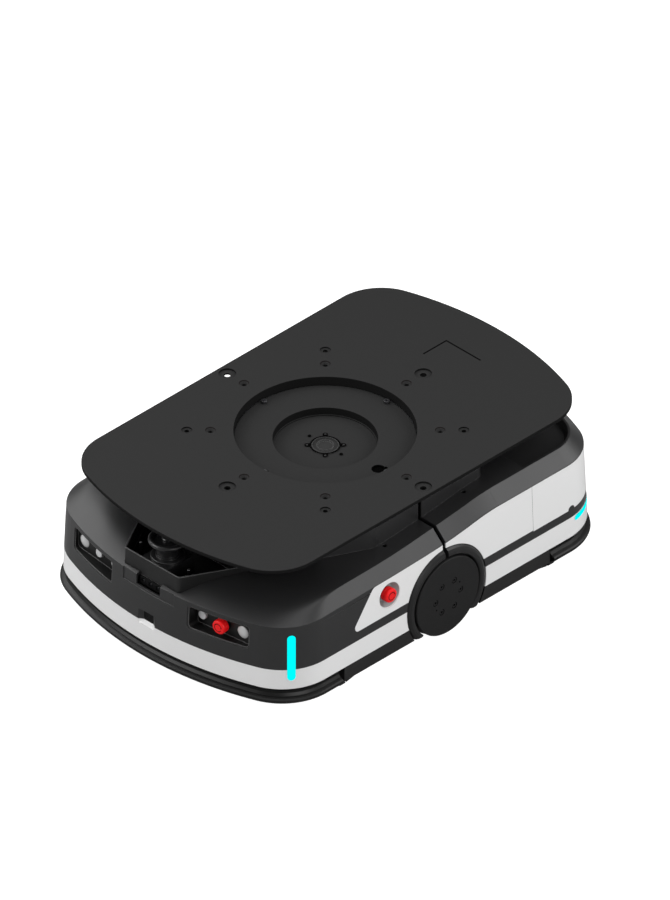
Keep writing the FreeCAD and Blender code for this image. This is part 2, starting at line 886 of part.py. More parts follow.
def tray_corners(grow):
    half_back = tray_front_half + tray_length * math.tan(math.radians(tray_flare)) + grow
    half_front = tray_front_half + grow
    front = tray_front_x + grow
    back = tray_back_x - grow
    corner = tray_corner + grow
    return [(front, -half_front, corner), (front, half_front, corner), (back, half_back, corner),
            (back, -half_back, corner)]


def lidar_tray():
    floor = tray_bottom + tray_wall
    tray = flat_prism(tray_corners(0.0), tray_bottom, tray_top)
    return tray.cut(flat_prism(tray_corners(-tray_wall), floor, tray_top + 5))


def lidar():
    """Scanner on a raised foot that runs up to the tray's front wall."""
    floor = tray_bottom + tray_wall
    half = lidar_foot_half
    front = tray_front_x - tray_wall - seat_gap
    foot = flat_prism(rectangle(lidar_x - lidar_foot_back, front, -half, half, 4), floor, lidar_foot_top)
    base = lidar_foot_top - lidar_sink
    body = turned([(radius, base + rise) for radius, rise in lidar_outline], lidar_x)
    return fused([foot, body])


def slot_opening():
    """Way out for the depth camera: under the tray, and open upwards in front of it."""
    wall_x = body_half_length - lean(notch_low)
    under = box(wall_x - 30, reach, -slot_half, slot_half, slot_low, tray_bottom)
    ahead = box(tray_front_x + seat_gap, reach, -slot_half, slot_half, slot_low, tray_top)
    return under.fuse(ahead)


def depth_camera_notch():
    """Shallow inset at the middle of the front edge, and the slot through it."""
    wall_x = body_half_length - lean(notch_low)
    inset = box(wall_x - 20, reach, -notch_half, notch_half, notch_low, tray_top).cut(
        leaning_prism(notch_depth, notch_low - 5, tray_top + 1))
    return inset.fuse(slot_opening())


def depth_camera():
    wall_x = body_half_length - lean(slot_low)
    top = tray_bottom - seat_gap
    body = box(wall_x - 38, wall_x - 10, -slot_half + 1, slot_half - 1, slot_low, top)
    body = body.makeFillet(3.0, [edge for edge in body.Edges if abs(edge.Length - (top - slot_low)) < 0.01])
    windows = [Part.makeCylinder(6.0, 4, Vector(wall_x - 12, y, (slot_low + top) / 2), Vector(1, 0, 0))
               for y in (-20, 0, 20)]
    return body.cut(windows)


def front_light():
    """Upright strip on the front left corner."""
    layer = skin(front_light_low - 20, front_light_high + 20, light_depth, light_proud)
    half = front_light_half
    wire = rounded_wire(rectangle(-half, half, front_light_low, front_light_high, half - 0.01),
                        lambda u, v: Vector(0, u, v))
    bar = Part.Face(wire).extrude(Vector(200, 0, 0))
    bar.rotate(Vector(0, 0, 0), Vector(0, 0, 1), 45)
    start_y = body_half_width - corner_radius
    bar.translate(Vector(start_y + body_half_length - body_half_width - front_light_shift, start_y, 0))
    return layer.common(bar)


def rear_light():
    """Level strip round the rear left corner, along the top of the band."""
    layer = skin(rear_light_low - 5, rear_light_high + 5, light_depth, light_proud)
    end = (rear_light_high - rear_light_low) / 2 - 0.01
    outline = [(-reach, rear_light_low, 0), (rear_light_x, rear_light_low, end),
               (rear_light_x, rear_light_high, end), (-reach, rear_light_high, 0)]
    bar = side_prism(outline, rear_light_y, reach)
    return layer.common(bar)


def arch_lip():
    """Bead and liner round the left wheel; the bead's mouth comes close to the wheel's cap."""
    width = arch_outer - arch_mouth
    bead = [(arch_mouth + share * width, arch_crest - depth) for share, depth in arch_bead]
    back = arch_root_y - 12.0
    points = [(arch_liner_radius, arch_liner_y), (arch_liner_radius, bead[0][1] - 1.5)] + bead
    liner_outer = arch_liner_radius + arch_liner
    points += [(arch_outer, back), (liner_outer, back), (liner_outer, arch_liner_y)]
    line = [Vector(0, y, wheel_z + radius) for radius, y in points]
    ring = Part.Face(Part.makePolygon(line + line[:1])).revolve(Vector(0, 0, wheel_z), Vector(0, 1, 0), 360)
    return ring.common(box(-reach, reach, 0, reach, skirt_bottom, reach))


def skirt_ring():
    """Low wall under the body: flush along the sides, set back behind the bumpers, with a flange."""
    step_x = bumper_end_x - bumper_stroke - 2.0
    back_x = step_x - skirt_wall
    sides = box(-step_x, step_x, -reach, reach, 0, reach)
    ends = box(-reach, reach, -reach, reach, 0, reach)
    ends = ends.cut(box(-back_x, back_x, -reach, reach, -1, reach + 1))
    full = straight_prism(0.0, skirt_bottom, band_bottom)
    flush = full.cut(straight_prism(skirt_wall, 0, band_top))
    inside = straight_prism(frame_inset, 0, band_top)
    recessed = straight_prism(frame_inset - 4.0, skirt_bottom, band_bottom).cut(inside)
    steps = [box(back_x, step_x, -reach, reach, 0, reach), box(-step_x, -back_x, -reach, reach, 0, reach)]
    webs = full.cut(inside).common(fused(steps))
    flange = straight_prism(frame_inset - 4.0, skirt_bottom, floor_bottom)
    shelf = straight_prism(0.0, skirt_bottom, floor_bottom).common(sides)
    flange = flange.fuse(shelf).cut(straight_prism(skirt_flange, 0, band_top))
    ring = fused([flush.common(sides), recessed.common(ends), webs, flange])
    wells = [upright(caster_well, 0, caster_top, x, y) for x in (caster_x, -caster_x)
             for y in (caster_y, -caster_y)]
    return ring.cut(wells + [arch_cut()])


def bumper():
    """Front safety edge: a hollow under the band and a rounded lip, with a hook at each end."""
    inset = bumper_back
    y = body_half_width - inset
    full = plan_outline(body_half_length - inset, y, end_radius - inset, corner_radius - inset, lip_height)
    bow = [edge for edge in full.Edges if edge.CenterOfMass.x > abs(bumper_end_x) / 2]
    turns = [vertex.Point for edge in bow for vertex in edge.Vertexes if abs(vertex.Point.y - y) < 1e-3]
    lead = Part.makeLine(Vector(bumper_end_x, y, lip_height), turns[0])
    mirrored = Part.makeLine(Vector(turns[0].x, -y, lip_height), Vector(bumper_end_x, -y, lip_height))
    path = Part.Wire(Part.sortEdges([lead] + bow + [mirrored])[0])
    section = [Vector(bumper_end_x, y + out, z) for out, z in [(0.0, bumper_top)] + bumper_section]
    profile = Part.makePolygon(section + section[:1])
    edge = path.makePipeShell([profile], True, False, 2)
    top = skirt_bottom - seat_gap
    low = top - tab_thick
    tip_x = bumper_end_x + bumper_stroke
    high = skirt_bottom + 8
    corners = [(bumper_end_x - tab_length, top, 0), (bumper_end_x - tab_flat, low, 3), (tip_x, low, 3),
               (tip_x, high, 0), (bumper_end_x, high, 0), (bumper_end_x, top, 0)]
    hook = side_prism(corners, y, y + inset - 1.0)
    hole_x = bumper_end_x - tab_flat - 3.0
    hook = hook.cut(across(tab_hole, y - 1, y + inset, hole_x, top - tab_thick / 2))
    return fused([edge, hook, other_side(hook)])


def caster_turret(x, y):
    wall = tube(caster_well + caster_wall, caster_well, floor_bottom, caster_top, x, y)
    roof = upright(caster_well + caster_wall, caster_top, caster_top + caster_plate, x, y)
    half = caster_plate_half
    corners = rectangle(x - half, x + half, y - half, y + half, 8)
    plate = flat_prism(corners, caster_top - caster_plate, caster_top)
    pin_hole = upright(kingpin_radius + running_gap, 0, 2 * caster_top, x, y)
    return fused([wall, roof, plate]).cut(pin_hole)


def caster_fork(x, y):
    crown_top = caster_top - caster_plate - seat_gap
    crown_low = crown_top - crown_thick
    crown = upright(crown_radius, crown_low, crown_top, x, y)
    pin = upright(kingpin_radius, crown_low, caster_top + caster_plate - 1, x, y)
    axle_x = x - caster_trail
    inner = caster_width / 2 + 1.0
    parts = [crown, pin]
    for side in (1, -1):
        y0 = y + inner if side > 0 else y - inner - cheek
        plate = side_prism([(x - crown_radius + 3, crown_low + 2, 0), (axle_x - 12, caster_radius, 10),
                            (axle_x, caster_radius - 13, 10), (axle_x + 14, caster_radius, 10),
                            (x + crown_radius - 6, crown_low + 2, 0)], y0, y0 + cheek)
        parts.append(plate)
    axle = across(caster_axle, y - inner - cheek - 3, y + inner + cheek + 3, axle_x, caster_radius)
    return fused(parts + [axle])


def caster_wheel(x, y):
    half = caster_width / 2
    axle_x = x - caster_trail
    points = [(caster_axle + running_gap, -half - 0.6), (caster_axle + 6, -half - 0.6),
              (caster_axle + 6, -half + 4), (caster_radius - 8, -half + 4),
              (caster_radius - 6, -half), (caster_radius - 2, -half),
              (caster_radius, -half + 3), (caster_radius, half - 3),
              (caster_radius - 2, half), (caster_radius - 6, half),
              (caster_radius - 8, half - 4), (caster_axle + 6, half - 4),
              (caster_axle + 6, half + 0.6), (caster_axle + running_gap, half + 0.6)]
    line = [Vector(axle_x, y + v, caster_radius + r) for r, v in points]
    face = Part.Face(Part.makePolygon(line + line[:1]))
    return face.revolve(Vector(axle_x, y, caster_radius), Vector(0, 1, 0), 360)


def floor_plate(region):
    top = floor_top + upstand
    sheet = straight_prism(frame_inset, floor_bottom, floor_top)
    wall = straight_prism(frame_inset, floor_bottom, top)
    wall = wall.cut(straight_prism(frame_inset + frame_edge, 0, top + 1))
    return fused([sheet, wall]).common(region)


def well_holes(x):
    """Openings in the floor under the caster wells."""
    return [upright(caster_well, 0, floor_top + 10, x, y) for y in (caster_y, -caster_y)]


def motor_mount(side):
    """Upright plate that carries a drive motor."""
    half = motor_plate_half
    top = wheel_z + 1.56 * motor_radius
    corner_z = wheel_z + 0.6 * motor_radius
    y0 = motor_plate_y if side > 0 else -motor_seat_y
    slant = 0.625 * half
    corners = [(-half, floor_bottom, 0), (half, floor_bottom, 0), (half, corner_z, 20), (slant, top, 20),
               (-slant, top, 20), (-half, corner_z, 20)]
    return side_prism(corners, y0, y0 + motor_plate)


def lift_bridge():
    """Stool over the floor for the lift motor."""
    half = bridge_half
    thick = bridge_thick
    top = lift_motor_low
    y0 = lift_motor_y - half
    y1 = lift_motor_y + half
    feet = [box(x, x + thick, y0, y1, floor_bottom, top) for x in (-half, half - thick)]
    return [box(-half, half, y0, y1, top - thick, top)] + feet


def post_places():
    return [(x, y) for x in (post_x, -post_x) for y in (post_y, -post_y)]


def rear_frame():
    behind = box(-reach, rear_side_x, -reach, reach, 0, reach)
    bay = box(rear_side_x - 1, bay_front_x, -motor_plate_y, motor_plate_y, floor_bottom, floor_top)
    turrets = [caster_turret(-caster_x, y) for y in (caster_y, -caster_y)]
    ribs = [box(x, x + rib_thick, -motor_plate_y, motor_plate_y, floor_bottom, rib_top)
            for x in (-bay_front_x, bay_front_x - rib_thick)]
    posts = [upright(post_radius, floor_bottom, post_top, x, y) for x, y in post_places()]
    shaft = screw_radius + running_gap
    bearings = [tube(screw_bearing, shaft, floor_bottom, floor_top + 4, x, 0) for x in (screw_x, -screw_x)]
    parts = [floor_plate(behind), bay, motor_mount(1), motor_mount(-1)]
    solid = fused(parts + turrets + ribs + lift_bridge() + posts + bearings)
    cuts = well_holes(-caster_x) + [pair(across(motor_radius, motor_inner_y, journal_y, 0, wheel_z))]
    cuts.append(upright(pinion_shaft + 1, floor_top + 20, lift_motor_low + 10, 0, lift_motor_y))
    cuts += [upright(shaft, 0, floor_top + 20, x, 0) for x in (screw_x, -screw_x)]
    return solid.cut(cuts)


def front_frame():
    ahead = box(front_frame_x, reach, -reach, reach, 0, reach)
    turrets = [caster_turret(caster_x, y) for y in (caster_y, -caster_y)]
    back_x = front_frame_x + bulkhead_thick
    half_y = body_half_width - bulkhead_from_side
    bulkhead = box(front_frame_x, back_x, -half_y, half_y, floor_bottom, bulkhead_top)
    y0 = journal_y + 0.5
    y1 = journal_y + journal_length - 0.5
    half = arm_height / 2
    arm = box(arm_root_x, back_x, y0, y1, wheel_z - half, wheel_z + half)
    ring = across(arm_ring_radius, y0, y1, 0, wheel_z)
    arms = [arm, ring, other_side(arm), other_side(ring)]
    solid = fused([floor_plate(ahead), bulkhead] + turrets + arms)
    journals = pair(across(journal_radius + running_gap, motor_seat_y, y1 + 10, 0, wheel_z))
    return solid.cut(well_holes(caster_x) + [journals])


def gearmotor():
    body = across(motor_radius, motor_inner_y, motor_seat_y, 0, wheel_z)
    waist = across(motor_radius - 6, motor_inner_y - motor_waist, motor_inner_y, 0, wheel_z)
    flange = across(flange_radius, motor_seat_y, journal_y, 0, wheel_z)
    journal = across(journal_radius, journal_y, journal_y + journal_length, 0, wheel_z)
    bore = across(axle_radius + running_gap, journal_y - 30, journal_y + 2 * journal_length, 0, wheel_z)
    return fused([body, waist, flange, journal]).cut(bore)


def drive_hub():
    axle = across(axle_radius, journal_y - 25, wheel_inner_y + 20, 0, wheel_z)
    rim = across(rim_radius, wheel_inner_y + 4, wheel_outer_y - 4, 0, wheel_z)
    dish = across(rim_radius - 12, wheel_inner_y + 3, wheel_inner_y + 26, 0, wheel_z)
    boss = across(hub_boss_radius, wheel_inner_y, wheel_inner_y + 30, 0, wheel_z)
    web = across(hub_web_radius, wheel_outer_y - 6, cap_outer_y - cap_thick, 0, wheel_z)
    cap = across(cap_radius, cap_outer_y - cap_thick, cap_outer_y, 0, wheel_z)
    rim_edges = [edge for edge in cap.Edges if edge.CenterOfMass.y > cap_outer_y - 0.01]
    cap = cap.makeChamfer(cap_edge, rim_edges)
    hub = fused([rim.cut(dish), boss, web, cap, axle])
    face = cap_outer_y
    cuts = []
    for x, z in ring_places(cap_pitch_radius, 6):
        cuts.append(across(cap_screw_radius, face - cap_screw_depth, face + 1, x, wheel_z + z))
    for x, z in ring_places(cap_pitch_radius + 2.5, 2, 150.0):
        cuts.append(across(cap_pin_radius, face - 4, face + 1, x, wheel_z + z))
    return hub.cut(cuts)


def drive_tyre():
    edge = tyre_edge
    outside = [(rim_radius, wheel_outer_y - 4), (rim_radius + 4, wheel_outer_y),
               (wheel_radius - edge, wheel_outer_y), (wheel_radius, wheel_outer_y - edge)]
    inside = [(wheel_radius, wheel_inner_y + edge), (wheel_radius - edge, wheel_inner_y),
              (rim_radius + 4, wheel_inner_y)]
    points = [(rim_radius, wheel_inner_y + 4)] + outside + inside
    line = [Vector(0, y, wheel_z + radius) for radius, y in points]
    return Part.Face(Part.makePolygon(line + line[:1])).revolve(Vector(0, 0, wheel_z), Vector(0, 1, 0), 360)


def plate_holes():
    cuts = []
    for x, y in ring_places(inner_circle, 8):
        cuts.append(upright(inner_hole, spacer_bottom - 20, plate_top + 1, x, y))
        depth = inner_sink - inner_hole
        cuts.append(Part.makeCone(inner_hole, inner_sink, depth, Vector(x, y, plate_top - depth)))
    for x, y in ring_places(outer_circle, 4):
        cuts.append(upright(large_hole, plate_bottom - 1, plate_top + 1, x, y))
        cuts.append(upright(large_sink, plate_top - large_sink_depth, plate_top + 1, x, y))
    for x, y in ring_places(outer_circle, 4, 45.0):
        cuts.append(upright(small_hole, plate_bottom - 1, plate_top + 1, x, y))
        cuts.append(upright(small_sink, plate_top - small_sink_depth, plate_top + 1, x, y))
    return cuts


def load_plate():
    edge = plan_outline(plate_half_length, plate_half_width, plate_end_radius, plate_corner, plate_bottom)
    plate = Part.Face(edge).extrude(Vector(0, 0, plate_thick))
    plate.translate(Vector(plate_shift, 0, 0))
    top_edges = [edge for edge in plate.Edges
                 if all(abs(corner.Point.z - plate_top) < 0.01 for corner in edge.Vertexes)]
    plate = plate.makeChamfer(plate_edge, top_edges)
    low = plate_top - groove_depth
    across_mark = box(groove_x, groove_x + groove_width, -groove_half_y, groove_half_y, low, plate_top + 1)
    along_mark = box(groove_x, groove_x + groove_reach_x,
                     -groove_half_y, -groove_half_y + groove_width, low, plate_top + 1)
    bore = upright(plate_bore, plate_bottom - 1, plate_top + 1)
    return plate.cut([bore, across_mark, along_mark] + plate_holes())


def spacer_ring():
    ring = tube(spacer_outer, plate_bore, spacer_bottom, plate_bottom)
    holes = [upright(inner_hole - 0.8, spacer_bottom - 1, plate_bottom + 1, x, y)
             for x, y in ring_places(inner_circle, 8)]
    return ring.cut(holes)


def involute_point(base, radius, turn):
    """Point of the involute at a radius, as (x, y), with the curve's start turned by turn radians."""
    spread = math.sqrt(max((radius / base) ** 2 - 1, 0.0))
    angle = spread - math.atan(spread) + turn
    return radius * math.cos(angle), radius * math.sin(angle)


def gear_outline(teeth, backlash):
    """Closed outline of an external gear, one tooth centred on +X, involute flanks in three steps."""
    pitch = gear_module * teeth / 2
    base = pitch * math.cos(math.radians(20))
    tip = pitch + 0.9 * gear_module
    root = pitch - 1.15 * gear_module
    spread = math.sqrt((pitch / base) ** 2 - 1)
    half = math.pi / (2 * teeth) - backlash / (2 * pitch) + spread - math.atan(spread)
    start = max(root, base)
    radii = [start + (tip - start) * i / 3 for i in range(4)]
    points = []
    for tooth in range(teeth):
        centre = 2 * math.pi * tooth / teeth
        rising = []
        for radius in radii:
            x, y = involute_point(base, radius, 0.0)
            rising.append((radius, math.atan2(y, x) - half))
        foot = (root, rising[0][1])
        flank = [foot] + rising if root < start - 0.01 else rising
        for radius, angle in flank + [(radius, -angle) for radius, angle in reversed(flank)]:
            points.append((radius * math.cos(centre + angle), radius * math.sin(centre + angle)))
    return points


def gear_blank(teeth, backlash, z0, z1):
    line = [Vector(x, y, z0) for x, y in gear_outline(teeth, backlash)]
    return Part.Face(Part.makePolygon(line + line[:1])).extrude(Vector(0, 0, z1 - z0))


def slew_outer_race():
    low = spacer_bottom - race_height
    blank = gear_blank(gear_teeth, gear_backlash / 2, low, spacer_bottom)
    return blank.cut(upright(race_split + race_gap, low - 1, spacer_bottom + 1))


def ring_screw_holes():
    radius = ring_screw_radius + seat_gap
    places = ring_places(ring_screw_circle, 4)
    return [upright(radius, neck_top() - 1, ring_top + 1, x, y) for x, y in places]


def slew_inner_race():
    race = tube(race_split, race_inner, neck_top(), ring_top - ring_plate)
    return race.cut(ring_screw_holes())


def pinion():
    low = spacer_bottom - race_height
    gear = gear_blank(pinion_teeth, gear_backlash / 2, low, spacer_bottom - 1.5)
    gear.rotate(Vector(0, 0, 0), Vector(0, 0, 1), 90 + 180.0 / pinion_teeth)
    gear.translate(Vector(0, pinion_y, 0))
    shaft = upright(pinion_shaft, table_top + slew_motor_above - 20, low + 1, 0, pinion_y)
    return fused([gear, shaft])


def slew_motor():
    """Motor let into the lift table, flattened where it faces the housing wall."""
    low = table_top - table_thick - slew_motor_below
    high = table_top + slew_motor_above
    body = upright(slew_motor_radius, low, high, 0, pinion_y)
    flat = box(-reach, reach, pinion_y - slew_motor_flat, reach, low - 1, high + 1)
    bore = upright(pinion_shaft + running_gap, high - 21, high + 1, 0, pinion_y)
    return body.common(flat).cut(bore)


def neck_top():
    return spacer_bottom - race_height - 1.0


def lift_table():
    x = table_half_x
    y = table_half_y
    low = table_top - table_thick
    table = flat_prism(rectangle(-x, x, -y, y, table_corner), low, table_top)
    neck = tube(neck_radius, neck_radius - neck_wall, low, neck_top())
    ledge = tube(neck_radius, race_inner - 22, neck_top() - 6, neck_top())
    parts = [table, neck, ledge]
    parts += [upright(nut_radius, low - nut_length, table_top, side * screw_x, 0) for side in (1, -1)]
    parts += [upright(bush_radius, low - bush_below, table_top + bush_above, i * post_x, j * post_y)
              for i in (1, -1) for j in (1, -1)]
    table = fused(parts)
    high = plate_top
    cuts = [upright(table_bore, 0, high)]
    cuts += [upright(screw_radius + running_gap, 0, high, side * screw_x, 0) for side in (1, -1)]
    cuts += [upright(post_radius + running_gap, 0, high, x, y) for x, y in post_places()]
    cuts.append(upright(slew_motor_radius, 0, high, 0, pinion_y))
    return table.cut(cuts)


def turntable_ring():
    """Fixed ring inside the plate's bore, stepping down to the pocket."""
    outer = plate_bore - ring_to_bore
    low = ring_top - ring_plate
    ring = tube(outer, ring_inner, low, ring_top)
    wall = tube(ring_inner + 4.0, ring_inner, pocket_floor - 4, low + 1)
    skirt = tube(race_inner - 4.0, race_inner - 20.0, neck_top(), low + 1)
    body = fused([ring, wall, skirt])
    cable = upright(cable_hole, low - 1, ring_top + 1, 0, cable_hole_y)
    key = upright(4.0, low - 1, ring_top + 1, -cable_hole + 1, cable_hole_y + 8)
    pin = upright(1.6, low - 1, ring_top + 1, 161, 0)
    return body.cut([cable, key, pin] + ring_screw_holes())


def ring_screws():
    screws = []
    for x, y in ring_places(ring_screw_circle, 4):
        socket = flat_prism([(x + u, y + v, 0) for u, v in ring_places(2.9, 6)], ring_top + 3, ring_top + 7)
        head = upright(ring_screw_head, ring_top, ring_top + 6, x, y).cut(socket)
        screws.append(fused([head, upright(ring_screw_radius, neck_top() + 2, ring_top, x, y)]))
    return group(screws)


def centre_cover():
    """Floor of the pocket, with the opening for the code camera."""
    disc = upright(ring_inner - seat_gap, pocket_floor - 4, pocket_floor)
    lip = tube(ring_inner - seat_gap, ring_inner - 3.0, pocket_floor - 4, pocket_floor + 2)
    body = fused([disc, lip])
    cuts = [upright(camera_radius + camera_gap, 0, plate_top)]
    for x, y in ring_places(ear_circle, 4, 45.0):
        cuts.append(upright(ear_radius, pocket_floor - 2, plate_top, x, y))
    for y in (camera_flange + 4.5, -camera_flange - 4.5):
        cuts.append(upright(cap_pin_radius, 0, plate_top, 0, y))
    return body.cut(cuts)


def code_camera():
    cap_top = pocket_floor - 0.8
    body = upright(camera_radius, pocket_floor - camera_length, cap_top)
    lens = tube(camera_lens + 2.0, camera_lens, cap_top - 1, cap_top + 0.6)
    glass = upright(camera_lens, cap_top - 1, cap_top + 0.2)
    flange = upright(camera_flange, pocket_floor - 8, pocket_floor - 4)
    return fused([body, lens, glass, flange])


def lift_screw(side):
    x = side * screw_x
    foot = floor_top + 4 + seat_gap
    shaft = upright(screw_radius, floor_bottom + 1, post_top - 4, x, 0)
    pulley = upright(pulley_radius, foot, foot + pulley_height, x, 0)
    rim = upright(pulley_radius + 3, foot, foot + 2, x, 0)
    return fused([shaft, pulley, rim])


def lift_motor():
    low = lift_motor_low
    high = low + lift_motor_length
    body = upright(lift_motor_radius, low, high, 0, lift_motor_y)
    brake = upright(lift_motor_radius - 6, high, high + 22, 0, lift_motor_y)
    shaft = upright(pinion_shaft, floor_top + 8, low, 0, lift_motor_y)
    pulley = upright(18.0, floor_top + 6, floor_top + 6 + pulley_height, 0, lift_motor_y)
    return fused([body, brake, shaft, pulley])


def rounded_box(x0, x1, half_y, z0, z1, radius):
    return flat_prism(rectangle(x0, x1, -half_y, half_y, radius), z0, z1)


def battery():
    case = rounded_box(battery_x0, battery_x1, battery_half_y, floor_top, floor_top + battery_height, 10)
    handle = box(battery_x1 - 1, battery_x1 + 8, -50, 50, floor_top + 80, floor_top + 95)
    return fused([case, handle])


def computer():
    case = rounded_box(computer_x0, computer_x1, computer_half_y, floor_top, floor_top + computer_height, 5)
    top = floor_top + computer_height
    half = computer_half_y - 8
    count = int((computer_length - 8) // fin_pitch) + 1
    starts = [computer_x0 + 8 + fin_pitch * i for i in range(count)]
    starts = [x for x in starts if x + fin_thick < computer_x1]
    fins = [box(x, x + fin_thick, -half, half, top - 1, top + 10) for x in starts]
    return fused([case] + fins)


def main():
    os.makedirs("parts", exist_ok=True)
    layer = skin(band_bottom, belt_rear + shoulder + 5, panel_thick)
    rings = skin(band_bottom, band_top, panel_thick).cut(arch_cut())
    eye = eye_recess()
    lights_front = pair(front_light())
    lights_rear = pair(rear_light())
    left_front = front_left_panel(layer)
    left_rear = rear_left_panel(layer)
    wrap = rear_wrap_panel(layer)
    front_band = front_half(rings).fuse(eye_tongue()).cut([eye, eye_window(), lights_front])
    front_band = front_band.removeSplitter()
    rear_band = rear_half(rings).cut(lights_rear)
    tray_hole = flat_prism(tray_corners(seat_gap), tray_bottom - seat_gap, plate_top)
    dish_hole = estop_dish(dish_wall, dish_depth + dish_wall)
    window = window_prism(0.0)
    shell = cover_shell().cut(arch_cut()).fuse(eye_boss())
    front_cover = front_half(shell).cut([
        eye, eye_window(), tray_hole, depth_camera_notch(), window, other_side(window),
        dish_hole, other_side(dish_hole), front_band, lights_front, left_front, other_side(left_front)])
    rear_cover = rear_half(shell).cut([rear_band, lights_rear, left_rear, other_side(left_rear), wrap])
    lip = arch_lip()
    skirt = skirt_ring()
    export("front_cover", front_cover)
    export("rear_cover", rear_cover)
    export("front_side_panels", pair(left_front))
    export("rear_side_panels", pair(left_rear))
    export("rear_wrap_panel", wrap)
    export("front_band", front_band)
    export("rear_band", rear_band)
    export("front_lights", lights_front)
    export("rear_lights", lights_rear)
    export("front_arch_lips", pair(front_half(lip)))
    export("rear_arch_lips", pair(rear_half(lip)))
    export("front_skirt", front_half(skirt))
    export("rear_skirt", rear_half(skirt))
    front_edge = bumper()
    export("front_bumper", front_edge)
    export("rear_bumper", front_edge.mirror(Vector(0, 0, 0), Vector(1, 0, 0)))
    export("front_frame", front_frame())
    export("rear_frame", rear_frame())
    export("battery", battery())
    export("control_computer", computer())
    export("lidar_tray", lidar_tray())
    export("lidar", lidar())
    export("depth_camera", depth_camera())
    export("front_camera", front_camera())

    small = button_radius + running_gap
    left_holes = [(button_y, small), (estop_y, estop_barrel), (lens_y, lens_radius)]
    right_holes = [(button_y, small), (middle_button_y, small), (lens_y, lens_radius)]
    export("left_control_panel", control_panel(left_holes))
    export("right_control_panel", other_side(control_panel(right_holes)))
    lens = on_window(lens_y, indicator_lens())
    export("indicator_lenses", pair(lens))
    export("left_button", on_window(button_y, push_button()))
    export("right_inner_button", other_side(on_window(button_y, push_button())))
    export("right_middle_button", other_side(on_window(middle_button_y, push_button())))
    collar = estop_collar_ring()
    export("estop_collars", group([on_window(estop_y, collar), on_side(1, collar), on_side(-1, collar)]))
    head = estop_mushroom()
    export("front_estop_head", on_window(estop_y, head))
    export("left_estop_head", on_side(1, head))
    export("right_estop_head", on_side(-1, head))

    motor = gearmotor()
    export("gearmotors", pair(motor))
    for side, mirror in (("left", False), ("right", True)):
        hub = drive_hub()
        tyre = drive_tyre()
        export(side + "_drive_hub", other_side(hub) if mirror else hub)
        export(side + "_drive_tyre", other_side(tyre) if mirror else tyre)
    for end, x in (("front", caster_x), ("rear", -caster_x)):
        for side, y in (("left", caster_y), ("right", -caster_y)):
            export(end + "_" + side + "_caster_fork", caster_fork(x, y))
            export(end + "_" + side + "_caster_wheel", caster_wheel(x, y))

    export("lift_motor", lift_motor())
    export("front_lift_screw", lift_screw(1))
    export("rear_lift_screw", lift_screw(-1))
    export("lift_table", lift_table())
    export("slew_motor", slew_motor())
    export("slew_pinion", pinion())
    export("slew_inner_race", slew_inner_race())
    export("slew_outer_race", slew_outer_race())
    export("turntable_ring", turntable_ring())
    export("ring_screws", ring_screws())
    export("centre_cover", centre_cover())
    export("code_camera", code_camera())
    export("spacer_ring", spacer_ring())
    export("load_plate", load_plate())


main()
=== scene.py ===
import json
import math
import bmesh
import bpy
from mathutils import Matrix, Vector


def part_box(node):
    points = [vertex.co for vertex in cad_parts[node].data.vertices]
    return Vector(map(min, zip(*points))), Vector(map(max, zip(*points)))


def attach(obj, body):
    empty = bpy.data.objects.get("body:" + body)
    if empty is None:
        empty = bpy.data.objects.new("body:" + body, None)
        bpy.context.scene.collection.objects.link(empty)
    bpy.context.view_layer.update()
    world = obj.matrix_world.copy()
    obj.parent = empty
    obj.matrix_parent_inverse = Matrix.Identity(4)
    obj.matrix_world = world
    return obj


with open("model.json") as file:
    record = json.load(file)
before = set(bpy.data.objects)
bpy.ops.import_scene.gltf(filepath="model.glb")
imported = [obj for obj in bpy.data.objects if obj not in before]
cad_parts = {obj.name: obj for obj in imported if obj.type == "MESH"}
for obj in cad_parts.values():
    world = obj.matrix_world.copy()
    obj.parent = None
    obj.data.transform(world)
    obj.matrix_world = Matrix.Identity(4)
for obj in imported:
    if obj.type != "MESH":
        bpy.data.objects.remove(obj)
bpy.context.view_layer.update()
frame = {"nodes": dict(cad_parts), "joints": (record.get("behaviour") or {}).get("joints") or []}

nodes = frame["nodes"]
print("frame loaded:", len(nodes), "nodes")

# what a finish is like where its own line says nothing else, with lengths in metres
commonLook = {"grainScale": 1500.0, "toneScale": 9.0, "toneSpread": 0.06, "roughness": 0.4,
              "roughnessSpread": 0.08, "rubAndHighlightWidth": 0.001, "rubAndHighlightAmount": 0.25, "rubAndHighlightEven": 0.0,
              "wallShade": 0.0, "dust": 0.0, "dustHeight": 0.12, "metallic": 0.0, "specular": 0.5,
              "coat": 0.0, "coatRoughness": 0.15, "bump": 0.15, "bumpDepth": 0.0002, "edgeRound": 0.0006}
bevelSamples = 4  # samples of each rounded-edge normal


def startGroup(name, inputs, outputs):
    # node group of plain numbers: inputs by name with their defaults, outputs by name
    group = bpy.data.node_groups.new(name, "ShaderNodeTree")
    for label, default in inputs.items():
        socket = group.interface.new_socket(label, in_out="INPUT", socket_type="NodeSocketFloat")
        socket.default_value = default
    for label in outputs:
        group.interface.new_socket(label, in_out="OUTPUT", socket_type="NodeSocketFloat")
    return group, group.nodes.new("NodeGroupInput"), group.nodes.new("NodeGroupOutput")


def feed(tree, socket, value):
    # a socket takes a fixed value or a link
    if isinstance(value, (int, float, tuple)):
        socket.default_value = value
    else:
        tree.links.new(value, socket)


def addMath(tree, operation, first, second=None, clamp=False):
    node = tree.nodes.new("ShaderNodeMath")
    node.operation = operation
    node.use_clamp = clamp
    feed(tree, node.inputs[0], first)
    if second is not None:
        feed(tree, node.inputs[1], second)
    return node.outputs[0]


